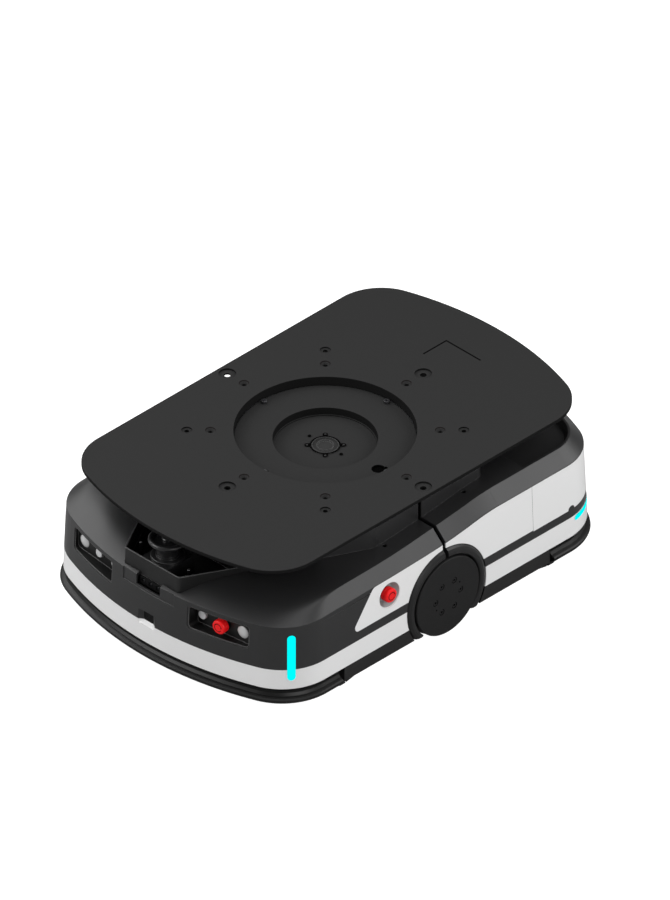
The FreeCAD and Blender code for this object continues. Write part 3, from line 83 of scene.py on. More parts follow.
def addVectorMath(tree, operation, first, second=None):
    node = tree.nodes.new("ShaderNodeVectorMath")
    node.operation = operation
    feed(tree, node.inputs[0], first)
    if second is not None:
        feed(tree, node.inputs[1], second)
    return node


def addNoise(tree, vector, scale, detail=2.0, roughness=0.5):
    node = tree.nodes.new("ShaderNodeTexNoise")
    node.inputs["Detail"].default_value = detail
    node.inputs["Roughness"].default_value = roughness
    feed(tree, node.inputs["Scale"], scale)
    tree.links.new(vector, node.inputs["Vector"])
    return node.outputs["Fac"]


def addRamp(tree, value, low, high):
    node = tree.nodes.new("ShaderNodeMapRange")
    node.inputs["From Min"].default_value = low
    node.inputs["From Max"].default_value = high
    tree.links.new(value, node.inputs["Value"])
    return node.outputs["Result"]


def addBevel(tree, radius):
    node = tree.nodes.new("ShaderNodeBevel")
    node.samples = bevelSamples
    feed(tree, node.inputs["Radius"], radius)
    return node.outputs["Normal"]


grainEffect = {"fineDetail": 1.0, "broadDetail": 4.0, "broadRoughness": 0.6}


def buildMouldGrain():
    # fine texture of a moulded or sprayed surface, with broad uneven tone
    group, enter, leave = startGroup(
        "mouldGrain",
        {"Grain Scale": commonLook["grainScale"], "Tone Scale": commonLook["toneScale"],
         "Tone Spread": commonLook["toneSpread"], "Roughness Base": commonLook["roughness"],
         "Roughness Spread": commonLook["roughnessSpread"]},
        ("Height", "Tone", "Roughness"))
    place = group.nodes.new("ShaderNodeTexCoord").outputs["Object"]
    fine = addNoise(group, place, enter.outputs["Grain Scale"], grainEffect["fineDetail"])
    broad = addNoise(group, place, enter.outputs["Tone Scale"], grainEffect["broadDetail"],
                     grainEffect["broadRoughness"])
    centred = addMath(group, "SUBTRACT", broad, 0.5)
    tone = addMath(group, "ADD", addMath(group, "MULTIPLY", centred, enter.outputs["Tone Spread"]), 1.0)
    rough = addMath(group, "MULTIPLY", centred, enter.outputs["Roughness Spread"])
    rough = addMath(group, "ADD", rough, enter.outputs["Roughness Base"], True)
    group.links.new(fine, leave.inputs["Height"])
    group.links.new(tone, leave.inputs["Tone"])
    group.links.new(rough, leave.inputs["Roughness"])
    return group


rubAndHighlightEffect = {"patchScale": 60.0, "patchDetail": 3.0, "patchLow": 0.35, "patchHigh": 0.6, "sharpness": 6.0}


def buildEdgeRubAndHighlight():
    # mask along edges for handling marks and painted highlights: broken up, it reads as handling marks, and
    # with Even raised it is an even painted highlight line
    group, enter, leave = startGroup(
        "edgeRubAndHighlight",
        {"Width": commonLook["rubAndHighlightWidth"], "Amount": commonLook["rubAndHighlightAmount"], "Even": commonLook["rubAndHighlightEven"]},
        ("Mask",))
    rounded = addBevel(group, enter.outputs["Width"])
    shape = group.nodes.new("ShaderNodeNewGeometry")
    facing = addVectorMath(group, "DOT_PRODUCT", rounded, shape.outputs["Normal"])
    turned = addMath(group, "SUBTRACT", 1.0, facing.outputs["Value"])
    place = group.nodes.new("ShaderNodeTexCoord").outputs["Object"]
    cloud = addNoise(group, place, rubAndHighlightEffect["patchScale"], rubAndHighlightEffect["patchDetail"])
    patches = addRamp(group, cloud, rubAndHighlightEffect["patchLow"], rubAndHighlightEffect["patchHigh"])
    patches = addMath(group, "ADD", patches, enter.outputs["Even"], True)
    edge = addMath(group, "MULTIPLY", turned, rubAndHighlightEffect["sharpness"], True)
    mask = addMath(group, "MULTIPLY", edge, patches)
    mask = addMath(group, "MULTIPLY", mask, enter.outputs["Amount"], True)
    group.links.new(mask, leave.inputs["Mask"])
    return group


dustEffect = {"speckScale": 240.0, "speckDetail": 5.0, "speckRoughness": 0.7, "speckLow": 0.42,
              "speckHigh": 0.75, "colour": (0.32, 0.30, 0.27)}


def buildFloorDust():
    # pale specks of dust, thickest near the floor
    group, enter, leave = startGroup(
        "floorDust", {"Amount": commonLook["dust"], "Height": commonLook["dustHeight"]}, ("Mask",))
    shape = group.nodes.new("ShaderNodeNewGeometry")
    split = group.nodes.new("ShaderNodeSeparateXYZ")
    group.links.new(shape.outputs["Position"], split.inputs[0])
    above = addMath(group, "DIVIDE", split.outputs["Z"], enter.outputs["Height"])
    low = addMath(group, "SUBTRACT", 1.0, above, True)
    cloud = addNoise(group, shape.outputs["Position"], dustEffect["speckScale"], dustEffect["speckDetail"],
                     dustEffect["speckRoughness"])
    specks = addRamp(group, cloud, dustEffect["speckLow"], dustEffect["speckHigh"])
    mask = addMath(group, "MULTIPLY", low, specks)
    mask = addMath(group, "MULTIPLY", mask, enter.outputs["Amount"], True)
    group.links.new(mask, leave.inputs["Mask"])
    return group


shadeEffect = {"uprightZ": 0.1, "levelZ": 0.6}  # share of the normal that points up or down


def buildWallShade():
    # painted shade: darkens the colour of upright faces, as the walls of pockets and holes in a flat plate
    # are shaded
    group, enter, leave = startGroup("wallShade", {"Strength": commonLook["wallShade"]}, ("Factor",))
    shape = group.nodes.new("ShaderNodeNewGeometry")
    split = group.nodes.new("ShaderNodeSeparateXYZ")
    group.links.new(shape.outputs["Normal"], split.inputs[0])
    upOrDown = addMath(group, "ABSOLUTE", split.outputs["Z"])
    level = addRamp(group, upOrDown, shadeEffect["uprightZ"], shadeEffect["levelZ"])
    upright = addMath(group, "SUBTRACT", 1.0, level, True)
    loss = addMath(group, "MULTIPLY", upright, enter.outputs["Strength"])
    group.links.new(addMath(group, "SUBTRACT", 1.0, loss, True), leave.inputs["Factor"])
    return group


mouldGrain = buildMouldGrain()
wallShade = buildWallShade()
edgeRubAndHighlight = buildEdgeRubAndHighlight()
floorDust = buildFloorDust()


def placeGroup(tree, group, values):
    node = tree.nodes.new("ShaderNodeGroup")
    node.node_tree = group
    for label, value in values.items():
        node.inputs[label].default_value = value
    return node


def mixColour(tree, mask, under, over):
    node = tree.nodes.new("ShaderNodeMix")
    node.data_type = "RGBA"
    for slot, value in ((6, under), (7, over)):  # the two colour sockets
        feed(tree, node.inputs[slot], (*value, 1.0) if isinstance(value, tuple) else value)
    tree.links.new(mask, node.inputs[0])
    return node.outputs[2]


def makeFinish(name, ownLook):
    # one finish: plain colour varied by grain, darkened on upright faces as painted shade, marked along its
    # edges with handling wear and painted highlights, and dusted near the floor
    look = {**commonLook, **ownLook}
    material = bpy.data.materials.new(name)
    material.use_nodes = True
    tree = material.node_tree
    shader = tree.nodes["Principled BSDF"]
    grain = placeGroup(tree, mouldGrain, {
        "Grain Scale": look["grainScale"], "Tone Scale": look["toneScale"],
        "Tone Spread": look["toneSpread"], "Roughness Base": look["roughness"],
        "Roughness Spread": look["roughnessSpread"]})
    rubAndHighlight = placeGroup(tree, edgeRubAndHighlight, {
        "Width": look["rubAndHighlightWidth"], "Amount": look["rubAndHighlightAmount"], "Even": look["rubAndHighlightEven"]})
    shade = placeGroup(tree, wallShade, {"Strength": look["wallShade"]})
    tinted = addVectorMath(tree, "SCALE", look["colour"])
    tone = addMath(tree, "MULTIPLY", grain.outputs["Tone"], shade.outputs["Factor"])
    tree.links.new(tone, tinted.inputs["Scale"])
    rubAndHighlightColour = look.get("rubAndHighlightColour", look["colour"])
    colour = mixColour(tree, rubAndHighlight.outputs["Mask"], tinted.outputs[0], rubAndHighlightColour)
    if look["dust"] > 0:
        dust = placeGroup(tree, floorDust, {"Amount": look["dust"], "Height": look["dustHeight"]})
        colour = mixColour(tree, dust.outputs["Mask"], colour, dustEffect["colour"])
    tree.links.new(colour, shader.inputs["Base Color"])
    tree.links.new(grain.outputs["Roughness"], shader.inputs["Roughness"])
    shader.inputs["Metallic"].default_value = look["metallic"]
    shader.inputs["Specular IOR Level"].default_value = look["specular"]
    shader.inputs["Coat Weight"].default_value = look["coat"]
    shader.inputs["Coat Roughness"].default_value = look["coatRoughness"]
    bump = tree.nodes.new("ShaderNodeBump")
    bump.inputs["Strength"].default_value = look["bump"]
    bump.inputs["Distance"].default_value = look["bumpDepth"]
    tree.links.new(grain.outputs["Height"], bump.inputs["Height"])
    tree.links.new(addBevel(tree, look["edgeRound"]), bump.inputs["Normal"])
    tree.links.new(bump.outputs["Normal"], shader.inputs["Normal"])
    return material


# colours are linear red, green and blue
finishes = {
    # a rub colour lighter than the finish, with a high Even, paints a highlight line along its edges:
    # trayMoulding and cameraGrey fully, satinCharcoal in part; a darker rub colour, as on glossWhite, is
    # edge wear
    "satinCharcoal": {"colour": (0.0135, 0.0135, 0.014), "bump": 0.06, "rubAndHighlightColour": (0.06, 0.06, 0.06),
                      "rubAndHighlightAmount": 0.35, "rubAndHighlightEven": 0.5, "edgeRound": 0.0014},
    "glossWhite": {"colour": (0.78, 0.78, 0.78), "roughness": 0.3, "bump": 0.03, "toneSpread": 0.012,
                   "rubAndHighlightColour": (0.7, 0.7, 0.7), "rubAndHighlightAmount": 0.1, "coat": 0.2, "dust": 0.03},
    "plateBlack": {"colour": (0.0235, 0.0235, 0.0235), "roughness": 0.85, "bump": 0.12, "grainScale": 1100.0,
                   "rubAndHighlightColour": (0.05, 0.05, 0.05), "rubAndHighlightAmount": 0.08, "toneSpread": 0.03, "specular": 0.1,
                   "wallShade": 0.75},
    "darkMoulding": {"colour": (0.0088, 0.0088, 0.009), "roughness": 0.38, "bump": 0.08, "dust": 0.03,
                     "specular": 0.35},
    "trayMoulding": {"colour": (0.0046, 0.0046, 0.0046), "bump": 0.06, "specular": 0.35,
                     "rubAndHighlightColour": (0.15, 0.15, 0.15), "rubAndHighlightAmount": 1.0, "rubAndHighlightEven": 1.0, "rubAndHighlightWidth": 0.003,
                     "edgeRound": 0.0016},
    "scannerBlack": {"colour": (0.010, 0.010, 0.0105), "roughness": 0.28, "bump": 0.04, "specular": 0.55,
                     "edgeRound": 0.001},
    "bumperRubber": {"colour": (0.0038, 0.0038, 0.0038), "bump": 0.06, "grainScale": 1400.0, "dust": 0.015,
                     "specular": 0.3},
    "tyreRubber": {"colour": (0.012, 0.012, 0.012), "roughness": 0.75, "bump": 0.3, "grainScale": 700.0,
                   "dust": 0.12, "dustHeight": 0.2, "specular": 0.3},
    "hubBlack": {"colour": (0.0108, 0.0108, 0.011), "roughness": 0.6, "bump": 0.06, "specular": 0.2,
                 "rubAndHighlightColour": (0.05, 0.05, 0.05), "rubAndHighlightAmount": 0.15, "dust": 0.02},
    "framePaint": {"colour": (0.025, 0.025, 0.027), "roughness": 0.5, "bump": 0.2, "dust": 0.12},
    "brightSteel": {"colour": (0.52, 0.52, 0.53), "roughness": 0.28, "metallic": 1.0, "bump": 0.1,
                    "toneSpread": 0.12},
    "gearSteel": {"colour": (0.16, 0.16, 0.17), "roughness": 0.36, "metallic": 1.0, "toneSpread": 0.15},
    "castAluminium": {"colour": (0.30, 0.30, 0.31), "roughness": 0.45, "metallic": 1.0, "bump": 0.5,
                      "grainScale": 500.0},
    "stopRed": {"colour": (0.82, 0.004, 0.006), "roughness": 0.42, "bump": 0.03, "specular": 0.3,
                "toneSpread": 0.04, "rubAndHighlightAmount": 0.0},
    "innerBlack": {"colour": (0.004, 0.004, 0.004), "roughness": 0.34, "bump": 0.08, "specular": 0.3},
    "holeBlack": {"colour": (0.001, 0.001, 0.001), "roughness": 0.9, "bump": 0.02, "specular": 0.02},
    # dark print on the stop heads, also the painted shade rims of the countersinks
    "printAndShadeDark": {"colour": (0.006, 0.004, 0.004), "roughness": 0.7, "bump": 0.02, "specular": 0.1},
    "cavityBlack": {"colour": (0.0016, 0.0016, 0.0018), "roughness": 0.5, "bump": 0.04, "specular": 0.12},
    "cameraGrey": {"colour": (0.024, 0.024, 0.024), "roughness": 0.6, "bump": 0.06, "specular": 0.2,
                   "rubAndHighlightColour": (0.14, 0.14, 0.14), "rubAndHighlightAmount": 0.8, "rubAndHighlightEven": 0.8, "rubAndHighlightWidth": 0.0012},
    # painted shade: grey inside the white dishes round the side stops
    "dishShadeGrey": {"colour": (0.30, 0.31, 0.31), "roughness": 0.45, "bump": 0.03, "specular": 0.35,
                 "rubAndHighlightAmount": 0.0},
    "lensCoated": {"colour": (0.004, 0.004, 0.006), "roughness": 0.25, "bump": 0.0, "coat": 0.05,
                   "coatRoughness": 0.1, "specular": 0.25},
    "screwBlack": {"colour": (0.012, 0.012, 0.012), "roughness": 0.42, "bump": 0.05},
    "casterGrey": {"colour": (0.07, 0.07, 0.075), "roughness": 0.6, "bump": 0.2, "dust": 0.15},
    "buttonSilver": {"colour": (0.60, 0.60, 0.61), "roughness": 0.3, "metallic": 0.15, "bump": 0.03,
                     "coat": 0.3},
    "lensMilk": {"colour": (0.52, 0.52, 0.52), "roughness": 0.25, "bump": 0.02, "coat": 0.5},
}
paints = {name: makeFinish(name, look) for name, look in finishes.items()}


def makeGlow(name, look):
    # frosted cover lit from behind: only its outward face glows, and less where it is seen edge-on
    material = makeFinish(name, look)
    tree = material.node_tree
    shader = tree.nodes["Principled BSDF"]
    place = tree.nodes.new("ShaderNodeTexCoord").outputs["Object"]
    cloud = addRamp(tree, addNoise(tree, place, look["cloudScale"]), look["cloudLow"], look["cloudHigh"])
    colour = mixColour(tree, cloud, look["glowLow"], look["glowHigh"])
    shape = tree.nodes.new("ShaderNodeNewGeometry")
    level = addVectorMath(tree, "MULTIPLY", shape.outputs["Position"], (1.0, 1.0, 0.0))
    away = addVectorMath(tree, "NORMALIZE", level.outputs[0])
    facing = addVectorMath(tree, "DOT_PRODUCT", shape.outputs["True Normal"], away.outputs[0])
    outward = addRamp(tree, facing.outputs["Value"], look["outwardLow"], look["outwardHigh"])
    rim = tree.nodes.new("ShaderNodeLayerWeight")
    rim.inputs["Blend"].default_value = look["edgeBlend"]
    edgeOn = addRamp(tree, rim.outputs["Facing"], look["edgeDark"], look["edgeBright"])
    mask = addMath(tree, "MULTIPLY", edgeOn, outward)
    tree.links.new(mixColour(tree, mask, (0.0, 0.0, 0.0), colour), shader.inputs["Emission Color"])
    shader.inputs["Emission Strength"].default_value = look["glowStrength"]
    return material


# outwardLow and High: how squarely a face looks out before it glows; edgeDark and edgeBright: how far
# edge-on it is seen where the glow is gone and where it is full
stripLook = {"colour": (0.0, 0.03, 0.03), "roughness": 0.6, "bump": 0.02, "specular": 0.0, "rubAndHighlightAmount": 0.0,
             "cloudScale": 60.0, "cloudLow": 0.3, "cloudHigh": 0.7, "glowLow": (0.0, 0.97, 0.97),
             "glowHigh": (0.0, 1.0, 1.0), "glowStrength": 1.0, "outwardLow": 0.35, "outwardHigh": 0.5,
             "edgeBlend": 0.5, "edgeDark": 0.86, "edgeBright": 0.72}
paints["stripCyan"] = makeGlow("stripCyan", stripLook)
paints["rearStripCyan"] = makeGlow("rearStripCyan", {**stripLook, "edgeDark": 1.0, "edgeBright": 0.97})

casters = [end + "_" + side + "_caster" for end in ("front", "rear") for side in ("left", "right")]
nodesByFinish = {
    "satinCharcoal": ["front_cover", "rear_cover"],
    "glossWhite": ["front_side_panels", "rear_side_panels", "rear_wrap_panel", "front_band", "rear_band"],
    "stripCyan": ["front_lights"],
    "rearStripCyan": ["rear_lights"],
    "darkMoulding": ["front_arch_lips", "rear_arch_lips", "front_skirt", "rear_skirt"],
    "bumperRubber": ["front_bumper", "rear_bumper"],
    "framePaint": ["front_frame", "rear_frame", "lift_table"],
    "innerBlack": ["battery", "estop_collars", "lift_motor", "slew_motor"],
    "castAluminium": ["control_computer", "gearmotors"],
    "trayMoulding": ["lidar_tray", "left_control_panel", "right_control_panel"],
    "scannerBlack": ["lidar"],
    "cavityBlack": ["depth_camera", "front_camera"],
    "lensMilk": ["indicator_lenses"],
    "buttonSilver": ["left_button", "right_inner_button", "right_middle_button"],
    "stopRed": ["front_estop_head", "left_estop_head", "right_estop_head"],
    "hubBlack": ["left_drive_hub", "right_drive_hub"],
    "tyreRubber": ["left_drive_tyre", "right_drive_tyre"],
    "gearSteel": ["slew_pinion", "slew_inner_race", "slew_outer_race", "ring_screws",
                  *(caster + "_fork" for caster in casters)],
    "casterGrey": [caster + "_wheel" for caster in casters],
    "plateBlack": ["turntable_ring", "centre_cover", "spacer_ring", "load_plate"],
    "cameraGrey": ["code_camera"],
    "brightSteel": ["front_lift_screw", "rear_lift_screw"],
}
for finish, names in nodesByFinish.items():
    for name in names:
        nodes[name].data.materials.clear()
        nodes[name].data.materials.append(paints[finish])
print("finishes on every node")

sharpAngle = 35.0  # faces that meet more steeply than this keep a sharp edge


def meshPiece(name, shape, finish, body):
    mesh = bpy.data.meshes.new(name)
    bmesh.ops.recalc_face_normals(shape, faces=shape.faces)
    shape.to_mesh(mesh)
    shape.free()
    for face in mesh.polygons:
        face.use_smooth = True
    piece = bpy.data.objects.new(name, mesh)
    bpy.context.scene.collection.objects.link(piece)
    mesh.materials.append(paints[finish])
    mesh.set_sharp_from_angle(angle=math.radians(sharpAngle))
    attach(piece, body)


def polar(radius, angle):
    return (radius * math.cos(angle), radius * math.sin(angle))


def ringOf(count, radius, start=0.0):
    return [polar(radius, start + 2 * math.pi * i / count) for i in range(count)]


def spinProfile(shape, profile, place, steps, hexFrom=None):
    # revolve (radius, height) points about the axis of place; points from hexFrom on make a hexagon
    rings = []
    for index, (radius, height) in enumerate(profile):
        if radius == 0:
            rings.append([shape.verts.new(place @ Vector((0, 0, height)))])
            continue
        ring = []
        for i in range(steps):
            angle = 2 * math.pi * i / steps
            reach = radius
            if hexFrom is not None and index >= hexFrom:
                reach = radius / math.cos((angle + math.pi / 6) % (math.pi / 3) - math.pi / 6)
            ring.append(shape.verts.new(place @ Vector((*polar(reach, angle), height))))
        rings.append(ring)
    for lower, upper in zip(rings, rings[1:]):
        for i in range(steps):
            j = (i + 1) % steps
            corners = [lower[i % len(lower)], lower[j % len(lower)]]
            corners += [upper[j % len(upper)], upper[i % len(upper)]]
            unique = list(dict.fromkeys(corners))
            if len(unique) > 2:
                shape.faces.new(unique)


def addBand(shape, first, second, floor, top, place, steps):
    # flat ring between two radii and two heights
    profile = [(first, floor), (first, top), (second, top), (second, floor), (first, floor)]
    spinProfile(shape, profile, place, steps)


def addPrism(shape, place, outline, floor, top):
    # closed outline of (x, y) points between two heights
    low = [shape.verts.new(place @ Vector((x, y, floor))) for x, y in outline]
    high = [shape.verts.new(place @ Vector((x, y, top))) for x, y in outline]
    shape.faces.new(low)
    shape.faces.new(high)
    for k in range(len(outline)):
        m = (k + 1) % len(outline)
        shape.faces.new((low[k], low[m], high[m], high[k]))


def addBlock(shape, low, high, soft):
    # box from its two corners, with its edges softened by a share of its thinnest side
    made = bmesh.ops.create_cube(shape, size=1.0)["verts"]
    for vert in made:
        vert.co = Vector([low[k] + (vert.co[k] + 0.5) * (high[k] - low[k]) for k in range(3)])
    edges = {edge for vert in made for edge in vert.link_edges}
    size = min(high[k] - low[k] for k in range(3))
    bmesh.ops.bevel(shape, geom=list(edges), offset=size * soft, segments=2, affect="EDGES")


# soft is the rim's rounding as a share of the head's radius, drop the share of it inside the hexagon
socketHead = {"soft": 0.12, "drop": 0.5}


def addSocketHead(shape, screw, place):
    # head of a socket screw, from its foot to the bottom of its hexagon
    radius, socket, depth = screw["radius"], screw["socket"], screw["depth"]
    soft = radius * socketHead["soft"]
    outside = [(radius, -screw["height"]), (radius, -soft), (radius - soft, 0.0), (socket + soft, 0.0)]
    hexagon = [(socket, -soft * socketHead["drop"]), (socket, -depth), (0.0, -depth)]
    spinProfile(shape, outside + hexagon, place, screw["steps"], len(outside))


almostUp = 0.9  # a face whose outward direction rises more than this counts as a top


def faceFrame(name, outward):
    # frame on a node's outermost face: Z points outward, origin on the middle of the face
    out = Vector(outward).normalized()
    hint = Vector((0, 0, 1)) if abs(out.z) < almostUp else Vector((0, 1, 0))
    side = hint.cross(out).normalized()
    up = out.cross(side)
    points = [nodes[name].matrix_world @ vert.co for vert in nodes[name].data.vertices]
    spot = out * max(point.dot(out) for point in points)
    for axis in (side, up):
        spans = [point.dot(axis) for point in points]
        spot += axis * (min(spans) + max(spans)) / 2
    place = Matrix((side, up, out)).transposed().to_4x4()
    place.translation = spot
    return place


def shifted(place, x, y, z=0.0):
    return place @ Matrix.Translation((x, y, z))


def topAt(name, x, y, within):
    # height of a node's surface round one place, from its own vertices
    points = [nodes[name].matrix_world @ vert.co for vert in nodes[name].data.vertices]
    return max(point.z for point in points if math.hypot(point.x - x, point.y - y) < within)


def pushOut(joint):
    # direction a push joint returns to, out of the panel
    return -Vector(next(j["axis"] for j in frame["joints"] if j["name"] == joint))


# open ring with an arrowhead, dark on the face of each red head; gap and turn in degrees
stopMark = {"inner": 0.0076, "outer": 0.0092, "floor": -0.00068, "top": -0.0001, "gap": 58.0, "turn": 20.0,
            "steps": 40, "arrow": 0.0024, "arrowHalf": 0.00168, "arrowTop": 0.0001}


def buildStopMarks():
    inner, outer, floor, top = (stopMark[key] for key in ("inner", "outer", "floor", "top"))
    section = ((inner, floor), (inner, top), (outer, top), (outer, floor))
    sweep = math.radians(360 - stopMark["gap"])
    start = math.radians(stopMark["turn"])
    middle = (inner + outer) / 2
    half = stopMark["arrowHalf"]
    tip = start - stopMark["arrow"] / middle
    arrow = [polar(middle - half, start), polar(middle + half, start), polar(middle, tip)]
    for side in ("front", "left", "right"):
        place = faceFrame(side + "_estop_head", pushOut(side + "_estop_push"))
        shape = bmesh.new()
        rings = []
        for i in range(stopMark["steps"] + 1):
            angle = start + sweep * i / stopMark["steps"]
            rings.append([shape.verts.new(place @ Vector((*polar(radius, angle), z)))
                          for radius, z in section])
        for first, second in zip(rings, rings[1:]):
            for k in range(len(section)):
                m = (k + 1) % len(section)
                shape.faces.new((first[k], first[m], second[m], second[k]))
        shape.faces.new(rings[0])
        shape.faces.new(rings[-1])
        addPrism(shape, place, arrow, floor, stopMark["arrowTop"])
        meshPiece(side + "StopMark", shape, "printAndShadeDark", side + "_estop")


# radii of the dish, how far below its mouth the skin ends, and how far the head's face is from its floor
dishLiner = {"mouth": 0.0285, "floor": 0.0200, "depth": 0.0140, "below": 0.0010, "gap": 0.00015,
             "hole": 0.0135, "headOut": 0.0205, "steps": 72}


def buildDishLiners():
    # thin grey skin on the cone and floor of the dish round each side stop, painted shade inside the white
    # panel's recess
    mouth, floor, depth = dishLiner["mouth"], dishLiner["floor"], dishLiner["depth"]
    gap = dishLiner["gap"]
    rim = mouth - (mouth - floor) * dishLiner["below"] / depth
    profile = [(rim - gap, depth - dishLiner["below"]), (floor - gap, gap), (dishLiner["hole"], gap)]
    for side in ("left", "right"):
        face = faceFrame(side + "_estop_head", pushOut(side + "_estop_push"))
        shape = bmesh.new()
        spinProfile(shape, profile, shifted(face, 0, 0, -dishLiner["headOut"]), dishLiner["steps"])
        meshPiece(side + "DishLiner", shape, "dishShadeGrey", "front_chassis")


buildStopMarks()
buildDishLiners()
print("emergency stop marks and dishes")

# circle is the radius of the ring that the screws stand on
capScrews = {"count": 6, "circle": 0.035, "radius": 0.0058, "sink": 0.0003, "height": 0.0012,
             "socket": 0.0026, "depth": 0.0011, "steps": 36}
# painted shade: dark rings in the gaps round the screws, dark discs in their hexagons and two small dark
# holes between the screws
capRings = {"radius": 0.00695, "lap": 0.0004, "floor": -0.0014, "top": -0.0002, "steps": 40}
capDiscs = {"over": 1.1, "height": -0.0012, "steps": 24}
capHoles = {"count": 2, "circle": 0.0375, "radius": 0.00215, "sink": 0.0012, "depth": 0.003, "start": 150.0,
            "steps": 20}


def buildCapScrews():
    ringInside = capScrews["radius"] - capRings["lap"]
    ring = [(ringInside, capRings["floor"]), (capRings["radius"], capRings["floor"]),
            (capRings["radius"], capRings["top"])]
    disc = [(capScrews["socket"] * capDiscs["over"], capDiscs["height"]), (0.0, capDiscs["height"])]
    hole = [(capHoles["radius"], -capHoles["depth"]), (capHoles["radius"], 0.0), (0.0, 0.0)]
    holeSpots = ringOf(capHoles["count"], capHoles["circle"], math.radians(capHoles["start"]))
    for side, outward, flip in (("left", (0, 1, 0), -1), ("right", (0, -1, 0), 1)):
        place = faceFrame(side + "_drive_hub", outward)
        screws = bmesh.new()
        dark = bmesh.new()
        for x, y in ringOf(capScrews["count"], capScrews["circle"]):
            addSocketHead(screws, capScrews, shifted(place, x, y, -capScrews["sink"]))
            spinProfile(dark, ring, shifted(place, x, y), capRings["steps"])
            spinProfile(dark, disc, shifted(place, x, y), capDiscs["steps"])
        for x, y in holeSpots:
            spinProfile(dark, hole, shifted(place, flip * x, y, -capHoles["sink"]), capHoles["steps"])
        meshPiece(side + "CapScrews", screws, "hubBlack", side + "_wheel")
        meshPiece(side + "CapRecessShade", dark, "holeBlack", side + "_wheel")


buildCapScrews()
print("wheel cap screws")

deckScrews = {"x": 0.111, "y": 0.277, "radius": 0.0050, "under": 0.0022, "height": 0.003, "socket": 0.0024,
              "depth": 0.0018, "within": 0.0075, "steps": 30}


# near-black heads: the screws' own dark colour, deepened as painted shade of the holes they sit in
def buildDeckScrews():
    for end, sign in (("front", 1), ("rear", -1)):
        shape = bmesh.new()
        x = sign * deckScrews["x"]
        for y in (deckScrews["y"], -deckScrews["y"]):
            top = topAt(end + "_cover", x, y, deckScrews["within"])
            addSocketHead(shape, deckScrews, Matrix.Translation((x, y, top - deckScrews["under"])))
        meshPiece(end + "DeckScrews", shape, "cavityBlack", end + "_chassis")


# back is from the tray's front edge, wall the thickness of its floor
trayPosts = {"back": 0.038, "y": 0.0671, "wall": 0.0025, "height": 0.038, "foot": 0.0048, "footTop": 0.002,
             "taperTop": 0.006, "shaft": 0.0034, "soft": 0.0004, "steps": 24}
trayScrews = {"radius": 0.0028, "lap": 0.0001, "side": 0.0008, "crown": 0.6, "shoulder": 0.0014,
              "height": 0.0015, "steps": 24}


def buildTrayPosts():
    # two posts on the tray's floor, each with a bright screw in its top
    low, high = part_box("lidar_tray")
    foot, shaft, top, soft = (trayPosts[key] for key in ("foot", "shaft", "height", "soft"))
    head = trayScrews["radius"]
    post = [(foot, 0.0), (foot, trayPosts["footTop"]), (shaft, trayPosts["taperTop"]), (shaft, top - soft),
            (shaft - soft, top), (0.0, top)]
    screw = [(head, top - trayScrews["lap"]), (head, top + trayScrews["side"]),
             (head * trayScrews["crown"], top + trayScrews["shoulder"]), (0.0, top + trayScrews["height"])]
    posts = bmesh.new()
    screws = bmesh.new()
    for y in (trayPosts["y"], -trayPosts["y"]):
        place = Matrix.Translation((high[0] - trayPosts["back"], y, low[2] + trayPosts["wall"]))
        spinProfile(posts, post, place, trayPosts["steps"])
        spinProfile(screws, screw, place, trayScrews["steps"])
    meshPiece("trayPosts", posts, "cavityBlack", "front_chassis")
    meshPiece("trayScrews", screws, "brightSteel", "front_chassis")


buildDeckScrews()
buildTrayPosts()
print("deck and tray screws")

# back is from the plate's rear end to the line, line its engraved width and painted the paint's width
plateMark = {"back": 0.101, "reach": 0.065, "half": 0.048, "line": 0.0016, "painted": 0.0034,
             "depth": 0.0003, "above": 0.000005, "soft": 0.01}


def buildPlateMark():
    # black paint that fills the plate's engraved corner mark and runs a little over its edges
    low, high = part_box("load_plate")
    painted, half, soft = plateMark["painted"], plateMark["half"], plateMark["soft"]
    spread = (painted - plateMark["line"]) / 2
    near = low[0] + plateMark["back"] - spread
    far = near + painted
    end = far + plateMark["reach"] - plateMark["line"]
    side = -half - spread
    bottom = high[2] - plateMark["depth"]
    top = high[2] + plateMark["above"]
    shape = bmesh.new()
    addBlock(shape, (near, side, bottom), (far, half + spread, top), soft)
    addBlock(shape, (far, side, bottom), (end, side + painted, top), soft)
    meshPiece("plateMark", shape, "holeBlack", "turntable")


sinkShadeRims = {"count": 8, "circle": 0.228, "radius": 0.0105, "width": 0.0017, "above": 0.00005, "steps": 40}


def buildSinkRims():
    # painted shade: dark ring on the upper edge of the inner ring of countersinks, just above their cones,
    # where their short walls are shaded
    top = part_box("load_plate")[1][2]
    above = sinkShadeRims["above"]
    profile = [(sinkShadeRims["radius"] - 2 * above, -above),
               (sinkShadeRims["radius"] - sinkShadeRims["width"], above - sinkShadeRims["width"])]
    shape = bmesh.new()
    for x, y in ringOf(sinkShadeRims["count"], sinkShadeRims["circle"]):
        spinProfile(shape, profile, Matrix.Translation((x, y, top)), sinkShadeRims["steps"])
    meshPiece("sinkShadeRims", shape, "printAndShadeDark", "turntable")


grommet = {"y": 0.149, "radius": 0.0138, "lip": 0.0022, "under": 0.0006, "depth": 0.0035, "web": 0.0028,
           "soft": 0.0004, "steps": 48}


